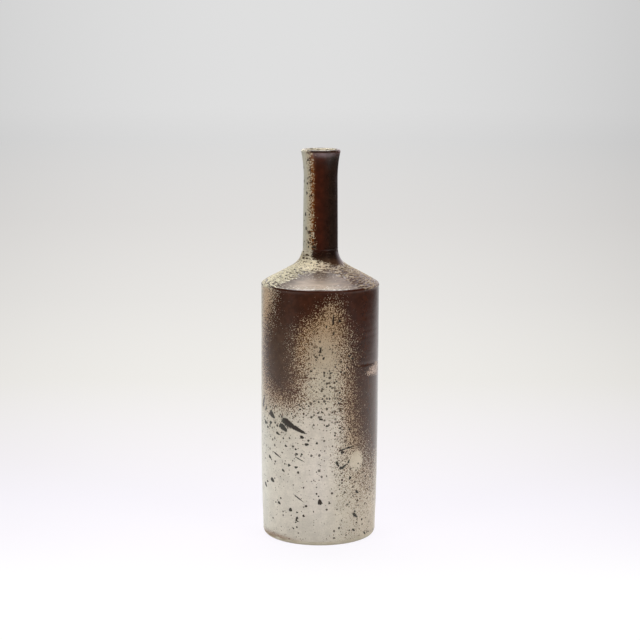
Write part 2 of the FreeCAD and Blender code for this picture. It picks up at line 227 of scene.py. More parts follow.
class VaseSection:
    """The glazed face of the vase as a half section, stretch by stretch."""

    def __init__(self, sizes: VaseSizes) -> None:
        """Work out the section's centres from its sizes.

        Args:
            sizes: the clay's sizes.
        """
        self.sizes = sizes
        self.slope = math.radians(sizes.shoulder_angle)
        self.taper = math.radians(sizes.neck_taper)
        self.find_outer_centres()
        self.find_inner_centres()

    def find_outer_centres(self) -> None:
        """Work out the centres of the arcs outside."""
        sizes, slope, taper = self.sizes, self.slope, self.taper
        self.side = (sizes.body_radius - sizes.side_round, sizes.side_height)
        self.arris = (
            sizes.body_radius - sizes.arris_round,
            sizes.body_height - sizes.arris_round * (1.0 - math.sin(slope)) / math.cos(slope))
        self.lip_height = sizes.body_height + sizes.top_height
        waist = self.lip_height - sizes.flare_height
        reach = (waist - sizes.body_height - sizes.body_radius * math.tan(slope)
                 - sizes.root_round / math.cos(slope)) * math.tan(taper)
        root = ((sizes.waist_radius + sizes.root_round / math.cos(taper) + reach)
                / (1.0 - math.tan(slope) * math.tan(taper)))
        self.root = (root, sizes.body_height + (sizes.body_radius - root) * math.tan(slope)
                     + sizes.root_round / math.cos(slope))
        self.flare = (sizes.waist_radius + sizes.flare_round * math.cos(taper),
                      waist + sizes.flare_round * math.sin(taper))
        lip = self.lip_height - sizes.glaze - sizes.lip_round
        reach = sizes.flare_round + sizes.lip_round
        self.flare_end = math.pi - math.asin((lip - self.flare[1]) / reach)
        self.lip = (self.flare[0] + reach * math.cos(self.flare_end), lip)

    def find_inner_centres(self) -> None:
        """Work out the centres of the arcs inside."""
        sizes, slope = self.sizes, self.slope
        self.bore_radius = sizes.waist_radius - sizes.neck_wall
        mouth = self.bore_radius + sizes.bore_flare_round
        reach = sizes.bore_flare_round - sizes.lip_round
        self.mouth_end = math.acos((self.lip[0] - mouth) / reach)
        self.mouth = (mouth, self.lip[1] - reach * math.sin(self.mouth_end))
        root = self.bore_radius + sizes.bore_root_round
        self.bore_root = (
            root, sizes.body_height + (sizes.body_radius - root) * math.tan(slope)
            + (sizes.bore_root_round - sizes.shoulder_wall) / math.cos(slope))
        corner = sizes.body_radius - sizes.body_wall - sizes.corner_round
        self.corner = (
            corner, sizes.body_height + (sizes.body_radius - corner) * math.tan(slope)
            - (sizes.shoulder_wall + sizes.corner_round) / math.cos(slope))
        self.hollow_round = sizes.side_round - sizes.body_wall
        self.floor_top = sizes.recess_depth + sizes.floor_thickness
        floor_z = self.floor_top + sizes.floor_round
        reach = self.hollow_round - sizes.floor_round
        self.hollow_end = -math.asin((sizes.side_height - floor_z) / reach)
        self.floor = (self.side[0] + reach * math.cos(self.hollow_end), floor_z)

    def line(self, stretches: dict[Stretch, float]) -> Line:
        """Lay out stretches of the glazed face, one after the other.

        Args:
            stretches: each stretch with the longest distance between its points.

        Returns:
            The line through them.
        """
        made = Line()
        faces = self.faces()
        for stretch, step in stretches.items():
            add = made.run if len(faces[stretch]) == 2 else made.arc
            add(*faces[stretch], step)
        return made

    def faces(self) -> dict[Stretch, tuple]:
        """List the glazed face's stretches.

        Returns:
            For each stretch a run's two ends, or an arc's centre, radius, first and last
            direction, and 1 where it looks away from its centre or -1 where it looks at it.
        """
        sizes, glaze = self.sizes, self.sizes.glaze
        steep, level = math.pi / 2 - self.slope, math.pi * 1.5 - self.slope
        upright = math.pi + self.taper
        arris, root = sizes.arris_round + glaze, sizes.root_round - glaze
        flare, bore_root = sizes.flare_round - glaze, sizes.bore_root_round + glaze
        corner = sizes.corner_round - glaze
        side, wall = sizes.side_round + glaze, sizes.body_radius + glaze
        foot = -math.asin((self.side[1] - (sizes.foot_round + sizes.bare_strip)) / side)
        bore, inner_wall = self.bore_radius - glaze, sizes.body_radius - sizes.body_wall - glaze
        floor = self.floor_top + glaze
        return {
            Stretch.SIDE: (self.side, side, foot, 0.0, 1.0),
            Stretch.WALL: ((wall, self.side[1]), (wall, self.arris[1])),
            Stretch.ARRIS: (self.arris, arris, 0.0, steep, 1.0),
            Stretch.CONE: (point_on(self.arris, arris, steep),
                           point_on(self.root, root, steep + math.pi)),
            Stretch.ROOT: (self.root, root, level, upright, -1.0),
            Stretch.NECK: (point_on(self.root, root, upright),
                           point_on(self.flare, flare, upright)),
            Stretch.FLARE: (self.flare, flare, upright, self.flare_end, -1.0),
            Stretch.LIP: (self.lip, sizes.lip_round + glaze, self.flare_end - math.pi,
                          self.mouth_end, 1.0),
            Stretch.MOUTH: (self.mouth, sizes.bore_flare_round + glaze, self.mouth_end, math.pi,
                            1.0),
            Stretch.BORE: ((bore, self.mouth[1]), (bore, self.bore_root[1])),
            Stretch.BORE_ROOT: (self.bore_root, bore_root, math.pi, level, 1.0),
            Stretch.CEILING: (point_on(self.bore_root, bore_root, steep + math.pi),
                              point_on(self.corner, corner, steep)),
            Stretch.CORNER: (self.corner, corner, steep, 0.0, -1.0),
            Stretch.INNER_WALL: ((inner_wall, self.corner[1]), (inner_wall, self.side[1])),
            Stretch.HOLLOW: (self.side, self.hollow_round - glaze, 0.0, self.hollow_end, -1.0),
            Stretch.FLOOR_ROUND: (self.floor, sizes.floor_round - glaze, self.hollow_end,
                                  -math.pi / 2, -1.0),
            Stretch.FLOOR: ((self.floor[0], floor), (0.0, floor))}


def point_on(centre: tuple[float, float], radius: float, turn: float) -> tuple[float, float]:
    """Find the point of an arc in a direction, in radians, from its centre."""
    return (centre[0] + radius * math.cos(turn), centre[1] + radius * math.sin(turn))


Value = object


class Nodes:
    """A node tree with short calls for the nodes that shaders and geometry share."""

    def __init__(self, tree: bpy.types.NodeTree) -> None:
        """Keep the tree that the calls add to."""
        self.tree = tree

    def node(self, kind: str, *values: Value, named: dict[str, Value] | None = None,
             **settings: Value) -> bpy.types.Node:
        """Add a node and feed it.

        Args:
            kind: Blender's name of the node.
            values: its inputs in their order, or None for each that stays as it is.
            named: its inputs by their names.
            settings: its properties.

        Returns:
            The node.
        """
        made = self.tree.nodes.new(kind)
        for name, value in settings.items():
            setattr(made, name, value)
        for socket, value in zip(made.inputs, values):
            self.feed(socket, value)
        for name, value in (named or {}).items():
            self.feed(made.inputs[name], value)
        return made

    def feed(self, socket: bpy.types.NodeSocket, value: Value) -> None:
        """Link a socket's value to an input, or set the input to a constant.

        Args:
            socket: the input.
            value: another node's output, a constant, or None to leave the input as it is.
        """
        if isinstance(value, bpy.types.NodeSocket):
            self.tree.links.new(value, socket)
        elif value is not None:
            socket.default_value = value

    def maths(self, operation: str, *values: Value, clamp: bool = False) -> bpy.types.NodeSocket:
        """Add a Math node.

        Args:
            operation: what it works out.
            values: its one, two or three inputs.
            clamp: whether the result is held between 0 and 1.

        Returns:
            Its result.
        """
        return self.joined("ShaderNodeMath", *values, operation=operation, use_clamp=clamp)

    def times(self, *values: Value) -> bpy.types.NodeSocket:
        """Multiply values, one after the other."""
        return reduce(lambda first, second: self.maths("MULTIPLY", first, second), values)

    def plus(self, *values: Value) -> bpy.types.NodeSocket:
        """Add values up, one after the other."""
        return reduce(lambda first, second: self.maths("ADD", first, second), values)

    def rest(self, share: Value) -> bpy.types.NodeSocket:
        """What a share leaves of one."""
        return self.maths("SUBTRACT", 1.0, share)

    def vector(self, operation: str, *values: Value) -> bpy.types.NodeSocket:
        """Add a Vector Math node; its result is a number where it measures a length."""
        made = self.node("ShaderNodeVectorMath", *values, operation=operation)
        return made.outputs["Value" if operation == "LENGTH" else "Vector"]

    def scaled(self, vector: Value, factor: Value) -> bpy.types.NodeSocket:
        """Make a vector longer or shorter, or a colour lighter or darker."""
        return self.node("ShaderNodeVectorMath", vector, named={"Scale": factor},
                         operation="SCALE").outputs["Vector"]

    def grade(self, value: Value, low: float, high: float,
              start: Value = 0.0, end: Value = 1.0) -> bpy.types.NodeSocket:
        """Grade a value softly from start at low to end at high.

        Args:
            value: the value.
            low: where the result is start.
            high: where the result is end.
            start: result at low.
            end: result at high.

        Returns:
            The graded value.
        """
        return self.joined("ShaderNodeMapRange", value, low, high, start, end,
                           interpolation_type="SMOOTHSTEP")

    def noise(self, where: Value, scale: float, detail: float = 2.0,
              roughness: float = 0.5, distortion: float = 0.0) -> bpy.types.NodeSocket:
        """Add a noise texture.

        Args:
            where: the coordinates that it reads.
            scale: its grains to a unit of those.
            detail: how many finer grains are added.
            roughness: how strong the finer ones are.
            distortion: how much it is warped.

        Returns:
            Its value, which keeps near a half.
        """
        return self.node("ShaderNodeTexNoise", named={
            "Vector": where, "Scale": scale, "Detail": detail, "Roughness": roughness,
            "Distortion": distortion}).outputs[0]

    def cells(self, where: Value, scale: float) -> bpy.types.bpy_prop_collection:
        """Add a cell texture with that many cells to a unit of its coordinates."""
        return self.node("ShaderNodeTexVoronoi", named={"Vector": where, "Scale": scale}).outputs

    def split(self, vector: Value) -> bpy.types.bpy_prop_collection:
        """Take a vector apart into its three numbers."""
        return self.node("ShaderNodeSeparateXYZ", vector).outputs

    def joined(self, kind: str, *values: Value, **settings: Value) -> bpy.types.NodeSocket:
        """Add a node that is fed in its inputs' order, and take its first output."""
        return self.node(kind, *values, **settings).outputs[0]

    def mix(self, share: Value, first: Value, second: Value) -> bpy.types.NodeSocket:
        """Mix two colours.

        Args:
            share: how much of the second.
            first: the first colour.
            second: the second colour.

        Returns:
            The mixed colour.
        """
        made = self.node("ShaderNodeMix", data_type="RGBA", blend_type="MIX", clamp_factor=True)
        for number, value in ((0, share), (6, first), (7, second)):
            self.feed(made.inputs[number], value)
        return made.outputs[2]


class GeometryTree(Nodes):
    """A Geometry Nodes tree with named inputs."""

    def __init__(self, name: str) -> None:
        """Make an empty tree.

        Args:
            name: the tree's name.
        """
        super().__init__(bpy.data.node_groups.new(name, "GeometryNodeTree"))
        self.socket_ids: dict[str, str] = {}
        for way in ("INPUT", "OUTPUT"):
            self.tree.interface.new_socket(
                name="Geometry", in_out=way, socket_type="NodeSocketGeometry")
        self.entry = self.node("NodeGroupInput")

    def input(self, name: str, kind: str) -> bpy.types.NodeSocket:
        """Add a named input.

        Args:
            name: its name.
            kind: Blender's name of its socket.

        Returns:
            The socket inside the tree.
        """
        socket = self.tree.interface.new_socket(name=name, in_out="INPUT", socket_type=kind)
        self.socket_ids[name] = socket.identifier
        return self.entry.outputs[name]

    def stored(self, name: str, kind: str = "FLOAT") -> bpy.types.NodeSocket:
        """Read a named attribute.

        Args:
            name: its name.
            kind: its data type.

        Returns:
            Its value.
        """
        made = self.node("GeometryNodeInputNamedAttribute", named={"Name": name}, data_type=kind)
        return made.outputs["Attribute"]

    def store(self, geometry: bpy.types.NodeSocket, name: str, value: bpy.types.NodeSocket,
              kind: str, domain: str) -> bpy.types.NodeSocket:
        """Write a named attribute.

        Args:
            geometry: what it is written to.
            name: its name.
            value: its value.
            kind: its data type.
            domain: what carries it.

        Returns:
            The geometry that carries it.
        """
        return self.node("GeometryNodeStoreNamedAttribute", data_type=kind, domain=domain, named={
            "Geometry": geometry, "Name": name, "Value": value}).outputs[0]

    def finish(self, geometry: bpy.types.NodeSocket) -> None:
        """End the tree with real meshes that wear the material input.

        Args:
            geometry: what the tree has made.
        """
        dressed = self.node("GeometryNodeSetMaterial", named={
            "Geometry": self.joined("GeometryNodeRealizeInstances", geometry),
            "Material": self.input("Material", "NodeSocketMaterial")})
        self.node("NodeGroupOutput", dressed.outputs[0])

    def apply(self, made: bpy.types.Object, **values: Value) -> bpy.types.Mesh:
        """Run the tree on an object.

        Args:
            made: the object.
            values: the tree's inputs, with _ for each space in their names.

        Returns:
            The plain mesh that comes out.
        """
        modifier = made.modifiers.new(self.tree.name, "NODES")
        modifier.node_group = self.tree
        for name, value in values.items():
            modifier[self.socket_ids[name.replace("_", " ")]] = value
        graph = bpy.context.evaluated_depsgraph_get()
        mesh = bpy.data.meshes.new_from_object(
            made.evaluated_get(graph), preserve_all_data_layers=True, depsgraph=graph)
        made.modifiers.remove(modifier)
        return mesh


class TurnedCoatTree(GeometryTree):
    """Turns a closed half section round the vase's axis into a shell, its seam at the back."""

    def __init__(self) -> None:
        """Build the tree."""
        super().__init__("turned coat")
        columns = self.input("Columns", "NodeSocketInt")
        rows = self.input("Rows", "NodeSocketInt")
        crowding = self.input("Front Crowding", "NodeSocketFloat")
        self.input("Seam Join", "NodeSocketFloat")
        last_row = self.maths("SUBTRACT", rows, 1.0)
        grid = self.node("GeometryNodeMeshGrid", named={
            "Size X": columns, "Size Y": last_row, "Vertices X": self.plus(columns, 1.0),
            "Vertices Y": rows})
        position = self.node("GeometryNodeInputPosition").outputs[0]
        on_grid = self.split(position)
        column = self.maths("MULTIPLY_ADD", columns, 0.5, on_grid[0])
        row = self.maths("MULTIPLY_ADD", last_row, 0.5, on_grid[1])
        share = self.maths("DIVIDE", column, columns)
        swing = self.times(self.maths("SINE", self.times(share, TURN)), crowding)
        angle = self.plus(self.maths("MULTIPLY_ADD", share, TURN, swing), math.pi / 2)
        chart = self.joined("ShaderNodeCombineXYZ", self.maths("DIVIDE", angle, TURN),
                            self.maths("DIVIDE", row, last_row))
        marked = self.store(grid.outputs["Mesh"], UV_NAME, chart, "FLOAT2", "CORNER")
        for name in ("along", "skin"):
            value = self.sample(self.stored(name), "FLOAT", row)
            marked = self.store(marked, name, value, "FLOAT", "POINT")
        place = self.split(self.sample(position, "FLOAT_VECTOR", row))
        turned = self.joined("ShaderNodeCombineXYZ",
                             self.times(place[0], self.maths("COSINE", angle)),
                             self.times(place[0], self.maths("SINE", angle)), place[2])
        moved = self.node("GeometryNodeSetPosition", named={
            "Geometry": marked, "Position": turned})
        joined = self.node("GeometryNodeMergeByDistance", named={
            "Geometry": moved.outputs[0], "Distance": self.entry.outputs["Seam Join"]})
        self.finish(self.shade(joined.outputs[0]))

    def sample(self, value: bpy.types.NodeSocket, kind: str,
               row: bpy.types.NodeSocket) -> bpy.types.NodeSocket:
        """Read a value from the section's point of a row.

        Args:
            value: the value on the section.
            kind: its data type.
            row: the row.

        Returns:
            The value read.
        """
        return self.node("GeometryNodeSampleIndex", data_type=kind, domain="POINT", named={
            "Geometry": self.entry.outputs["Geometry"], "Value": value,
            "Index": self.maths("ROUND", row)}).outputs[0]

    def shade(self, geometry: bpy.types.NodeSocket) -> bpy.types.NodeSocket:
        """Shade the shell smooth and leave its cut edges sharp.

        Args:
            geometry: the shell.

        Returns:
            The shaded shell.
        """
        faces = self.node("GeometryNodeSetShadeSmooth", domain="FACE", named={
            "Geometry": geometry})
        bend = self.node("GeometryNodeInputMeshEdgeAngle").outputs[0]
        return self.node("GeometryNodeSetShadeSmooth", domain="EDGE", named={
            "Geometry": faces.outputs[0], "Shade Smooth": False,
            "Selection": self.maths("GREATER_THAN", bend, SHARP_BEND)}).outputs[0]


class ReliefTree(GeometryTree):
    """Raises a coat's real relief: thick and thin glaze, throwing lines and ash crust."""

    def __init__(self) -> None:
        """Build the tree."""
        super().__init__("glaze relief")
        sink = self.input("Sink", "NodeSocketFloat")
        wave = self.input("Glaze Wave", "NodeSocketFloat")
        lines = self.input("Throwing Lines", "NodeSocketFloat")
        crust = self.input("Crust Height", "NodeSocketFloat")
        flow = self.stored("flow", "FLOAT_VECTOR")
        upright = self.joined("ShaderNodeCombineXYZ", None, None, self.split(flow)[2])
        thick = self.times(self.centred(self.noise(flow, 0.09, 2.0)), wave)
        ridge = self.times(self.centred(self.noise(upright, 0.42, 3.0, 0.7)), lines)
        flake = self.times(self.grade(crust_lie(self, flow), 0.43, 0.58), self.stored("ash"), crust)
        total = self.maths("SUBTRACT", self.plus(thick, ridge, flake, self.stored("mound")), sink)
        offset = self.scaled(self.node("GeometryNodeInputNormal").outputs[0],
                             self.times(total, self.stored("room"), MM))
        self.finish(self.node("GeometryNodeSetPosition", named={
            "Geometry": self.entry.outputs["Geometry"], "Offset": offset}).outputs[0])

    def centred(self, value: bpy.types.NodeSocket) -> bpy.types.NodeSocket:
        """Move a noise's value so that it swings about nothing, from about -1 to 1."""
        return self.maths("MULTIPLY_ADD", value, NOISE_SWING, -NOISE_SWING / 2)


def crust_lie(tree: Nodes, flow: bpy.types.NodeSocket) -> bpy.types.NodeSocket:
    """The lie of the ash crust's flakes, the same for the relief and for the colour.

    Args:
        tree: the node tree to add to.
        flow: the coordinates that follow the surface, in millimetres.

    Returns:
        A value about a half, lower between the flakes.
    """
    coarse = tree.noise(flow, 0.42, 2.0, 0.6, 0.4)
    fine = tree.noise(flow, 1.0, 2.0, 0.6)
    return tree.maths("MULTIPLY_ADD", fine, 0.3, tree.maths("MULTIPLY", coarse, 0.7))


@dataclass(frozen=True)
class Zone:
    """A soft oval on the glaze, in millimetres or degrees across and millimetres up."""

    across: float
    up: float
    reach_across: float
    reach_up: float
    value: tuple[float, ...] | float


def tone_zones(*rows: tuple[float, ...]) -> tuple[Zone, ...]:
    """Turn rows of place, reach and screen colour into zones."""
    return tuple(Zone(*row[:4], linear(*row[4:])) for row in rows)


def share_zones(*rows: tuple[float, ...]) -> tuple[Zone, ...]:
    """Turn rows of place, reach and share into zones."""
    return tuple(Zone(*row[:4], row[4:]) for row in rows)


@dataclass(frozen=True)
class Mark:
    """A drop or a brushed dash of glaze: its centre, length, width and turn from the level."""

    across: float
    up: float
    length: float
    width: float
    turn: float = 0.0


def wrapped(across: np.ndarray, centre: float, round_length: float) -> np.ndarray:
    """Measure the signed shorter distances of points from a place on the way round."""
    return (across - centre + round_length / 2) % round_length - round_length / 2


def nearness(zone: Zone, across: np.ndarray, up: np.ndarray, round_length: float) -> np.ndarray:
    """How strongly a zone pulls at each point, from 1 at its centre."""
    sideways = wrapped(across, zone.across, round_length) / zone.reach_across
    return np.exp(-sideways ** 2 - ((up - zone.up) / zone.reach_up) ** 2)


def blend_zones(zones: tuple[Zone, ...], across: np.ndarray, up: np.ndarray,
                round_length: float, ground: tuple[float, ...] | float,
                ground_share: float = 0.12) -> np.ndarray:
    """Blend the zones' values over points, and a ground value where no zone is near.

    Args:
        zones: the zones.
        across: the points' places round.
        up: the points' places up.
        round_length: once round.
        ground: the value far from every zone.
        ground_share: how strongly the ground holds against a zone.

    Returns:
        A row of values for each point.
    """
    start = np.atleast_1d(np.array(ground, float))
    total = np.tile(start * ground_share, (len(across), 1))
    weight = np.full((len(across), 1), ground_share)
    for zone in zones:
        pull = nearness(zone, across, up, round_length)[:, None]
        total += pull * np.atleast_1d(np.array(zone.value, float))
        weight += pull
    return total / weight


def inside_depth(outline: tuple[tuple[float, float], ...], across: np.ndarray,
                 up: np.ndarray) -> np.ndarray:
    """Measure how deep points lie inside a closed outline.

    Args:
        outline: its corners in order.
        across: the points' places round.
        up: the points' places up.

    Returns:
        The distance to the outline, positive inside it.
    """
    nearest = np.full(len(across), np.inf)
    inside = np.zeros(len(across), bool)
    for (x0, y0), (x1, y1) in zip(outline, outline[1:] + outline[:1]):
        edge = np.array((x1 - x0, y1 - y0))
        share = ((across - x0) * edge[0] + (up - y0) * edge[1]) / (edge @ edge)
        share = np.clip(share, 0.0, 1.0)
        gap = np.hypot(across - x0 - share * edge[0], up - y0 - share * edge[1])
        nearest = np.minimum(nearest, gap)
        if y0 != y1:
            spans = (y0 > up) != (y1 > up)
            inside ^= spans & (across < (x1 - x0) * (up - y0) / (y1 - y0) + x0)
    return np.where(inside, nearest, -nearest)


SCORE_GAIN = 1.7
SCORE_END = 6.0
SHARE_END = 0.001


def share_of(value: np.ndarray) -> np.ndarray:
    """Turn a score into the covered share that it stands for."""
    return 1.0 / (1.0 + np.exp(-SCORE_GAIN * np.clip(value, -SCORE_END, SCORE_END)))


def score(share: np.ndarray) -> np.ndarray:
    """Turn a covered share of 0 to 1 into the score that the stipple takes."""
    held = np.clip(share, SHARE_END, 1.0 - SHARE_END)
    return np.log(held / (1.0 - held)) / SCORE_GAIN


MARK_LAYERS = 4
MARK_MARGIN = 1.4


class MarkLayers:
    """Lays marks on a coat as their own oval coordinates, close neighbours on different layers."""

    def __init__(self, marks: tuple[Mark, ...]) -> None:
        """Share the marks out.

        Args:
            marks: the marks.
        """
        self.layers: list[list[Mark]] = [[] for _ in range(MARK_LAYERS)]
        for mark in marks:
            self.room_for(mark).append(mark)

    def room_for(self, mark: Mark) -> list[Mark]:
        """The first layer on which a mark is clear of the others, or else the last.

        Args:
            mark: the mark.

        Returns:
            The marks on that layer.
        """
        for layer in self.layers:
            if all(self.apart(mark, other) for other in layer):
                return layer
        return self.layers[-1]

    @staticmethod
    def apart(mark: Mark, other: Mark) -> bool:
        """Whether two marks and their margins are clear of each other."""
        gap = math.dist((mark.across, mark.up), (other.across, other.up))
        return gap > (mark.length + other.length) / 2 + 2 * MARK_MARGIN

    def coordinates(self, across: np.ndarray, up: np.ndarray,
                    round_length: float) -> list[np.ndarray]:
        """Work out each layer's oval coordinates at points.

        Args:
            across: the points' places round, in millimetres.
            up: the points' places up.
            round_length: once round.

        Returns:
            For each layer, a vector for each point: its place in the nearest mark, from -1 to 1
            across it and up it, and 1 beside a mark or 0 far from them all.
        """
        made = []
        for layer in self.layers:
            values = np.zeros((len(across), 3))
            for mark in layer:
                sideways = wrapped(across, mark.across, round_length)
                rise = up - mark.up
                turn = math.radians(mark.turn)
                ahead = sideways * math.cos(turn) + rise * math.sin(turn)
                aside = rise * math.cos(turn) - sideways * math.sin(turn)
                near = ((np.abs(ahead) < mark.length / 2 + MARK_MARGIN)
                        & (np.abs(aside) < mark.width / 2 + MARK_MARGIN))
                values[near, 0] = ahead[near] / (mark.length / 2)
                values[near, 1] = aside[near] / (mark.width / 2)
                values[near, 2] = 1.0
            made.append(values)
        return made


class Paint:
    """Writes a coat's own values to its points."""

    def __init__(self, mesh: bpy.types.Mesh) -> None:
        """Read the coat's points.

        Args:
            mesh: the coat's mesh.
        """
        self.mesh = mesh
        count = len(mesh.vertices)
        places = np.empty(count * 3)
        mesh.vertices.foreach_get("co", places)
        places = places.reshape(-1, 3) / MM
        self.angle = np.arctan2(places[:, 1], places[:, 0])
        self.azimuth = (np.degrees(self.angle) + 90.0 + 180.0) % 360.0 - 180.0
        self.height = places[:, 2]
        self.along = self.read("along")
        self.skin = self.read("skin")

    def read(self, name: str) -> np.ndarray:
        """Read a number that each point carries.

        Args:
            name: the number's name.

        Returns:
            It, for each point.
        """
        values = np.empty(len(self.mesh.vertices))
        self.mesh.attributes[name].data.foreach_get("value", values)
        return values

    def number(self, name: str, values: np.ndarray) -> None:
        """Write a number to each point."""
        made = self.mesh.attributes.new(name, "FLOAT", "POINT")
        made.data.foreach_set("value", np.ascontiguousarray(values, np.float32))

    def vector(self, name: str, values: np.ndarray) -> None:
        """Write a vector to each point."""
        made = self.mesh.attributes.new(name, "FLOAT_VECTOR", "POINT")
        made.data.foreach_set("vector", np.ascontiguousarray(values, np.float32).ravel())

    def colour(self, name: str, values: np.ndarray) -> None:
        """Write a linear colour to each point."""
        made = self.mesh.attributes.new(name, "FLOAT_COLOR", "POINT")
        made.data.foreach_set("color", np.ascontiguousarray(values, np.float32).ravel())

    def flow(self, round_radius: float, stretch_round: float, stretch_up: float,
             up: np.ndarray) -> None:
        """Write coordinates that follow the surface, in millimetres.

        Args:
            round_radius: radius at which the way round is true.
            stretch_round: how much grains are shortened round the vase.
            stretch_up: how much they are shortened up the surface.
            up: each point's distance up the surface.
        """
        self.vector("flow", np.column_stack((
            round_radius * stretch_round * np.cos(self.angle),
            round_radius * stretch_round * np.sin(self.angle), up * stretch_up)))

    def room(self, fade: float, first_fade: float = 0.8) -> None:
        """Write how much relief a point may have: none at the coat's cut edges or behind.

        Args:
            fade: how far from the last edge the relief is full.
            first_fade: how far from the first edge it is full.
        """
        glazed = self.skin > GLAZED
        reach = self.along[glazed]
        room = smooth(0.0, first_fade, self.along - reach.min())
        room *= smooth(0.0, fade, reach.max() - self.along)
        self.number("room", room * glazed)

    def marks(self, marks: tuple[Mark, ...], round_radius: float) -> None:
        """Write the marks' layers.

        Args:
            marks: the marks, in millimetres round and up.
            round_radius: radius at which those are true.
        """
        across = np.radians(self.azimuth) * round_radius
        layers = MarkLayers(marks).coordinates(across, self.height, TURN * round_radius)
        for number, values in enumerate(layers, start=1):
            self.vector(f"marks_{number}", values)

    def chart(self, lay: "ChartLay") -> None:
        """Lay the coat's bake map out from its place round and its row.

        Args:
            lay: how the glazed face and the face behind it are laid out.
        """
        layer = self.mesh.uv_layers[UV_NAME]
        values = np.empty(len(layer.data) * 2)
        layer.data.foreach_get("uv", values)
        values = values.reshape(-1, 2)
        layer.data.foreach_set("uv", lay.lay_out(values).astype(np.float32).ravel())


@dataclass(frozen=True)
class ChartLay:
    """How a coat's bake map is laid out: its face as a strip or a ring, its back beside it."""

    rows: int
    skin_rows: int
    ring: bool = False
    back_share: float = 0.03
    front_from: float = 0.045
    ring_hole: float = 0.06
    ring_edge: float = 0.49
    ring_back: float = 0.12
    seam_turn: float = 0.25
    row_slack: float = 0.001

    def lay_out(self, values: np.ndarray) -> np.ndarray:
        """Place the corners.

        Args:
            values: for each corner its turn from the right, once round, and its share of the rows.

        Returns:
            The corners' places on the map.
        """
        row = values[:, 1] * (self.rows - 1)
        share = np.clip(row / (self.skin_rows - 1), 0.0, 1.0)
        behind = np.clip((row - self.skin_rows + 1) / (self.rows - self.skin_rows), 0.0, 1.0)
        across = np.clip(values[:, 0] - self.seam_turn, 0.0, 1.0)
        is_back = row > self.skin_rows - 1 + self.row_slack
        if self.ring:
            reach = self.ring_edge * (1.0 - share) + self.ring_hole * share
            front = np.column_stack((0.5 + reach * np.cos(values[:, 0] * TURN),
                                     0.5 + reach * np.sin(values[:, 0] * TURN)))
            back = np.column_stack((across * self.ring_back, behind * self.ring_back))
        else:
            front = np.column_stack((across, self.front_from + share * (1.0 - self.front_from)))
            back = np.column_stack((across, behind * self.back_share))
        return np.where(is_back[:, None], back, front)


class Shade(Nodes):
    """A material's node tree."""

    def __init__(self, name: str) -> None:
        """Start a material.

        Args:
            name: the material's name.
        """
        self.material = bpy.data.materials.new(name)
        self.material.use_nodes = True
        super().__init__(self.material.node_tree)
        self.tree.nodes.clear()
        self.surface = self.node("ShaderNodeBsdfPrincipled")
        self.ending = self.node("ShaderNodeOutputMaterial", self.surface.outputs[0])

    def stored(self, name: str, output: str = "Fac") -> bpy.types.NodeSocket:
        """Read a value that the piece's points carry."""
        made = self.node("ShaderNodeAttribute", attribute_type="GEOMETRY", attribute_name=name)
        return made.outputs[output]

    def place(self) -> bpy.types.NodeSocket:
        """The piece's own coordinates, in millimetres."""
        return self.scaled(self.node("ShaderNodeTexCoord").outputs["Object"], 1.0 / MM)

    def bump(self, height: bpy.types.NodeSocket, distance: float,
             strength: float = 1.0) -> bpy.types.NodeSocket:
        """Add fine relief.

        Args:
            height: the relief.
            distance: what a height of one stands for, in metres.
            strength: how strongly it shows.

        Returns:
            The bent normal.
        """
        return self.node("ShaderNodeBump", named={
            "Strength": strength, "Distance": distance, "Height": height}).outputs[0]

    def set(self, **values: Value) -> None:
        """Feed the surface's own inputs, with _ for each space in their names."""
        for name, value in values.items():
            self.feed(self.surface.inputs[name.replace("_", " ")], value)


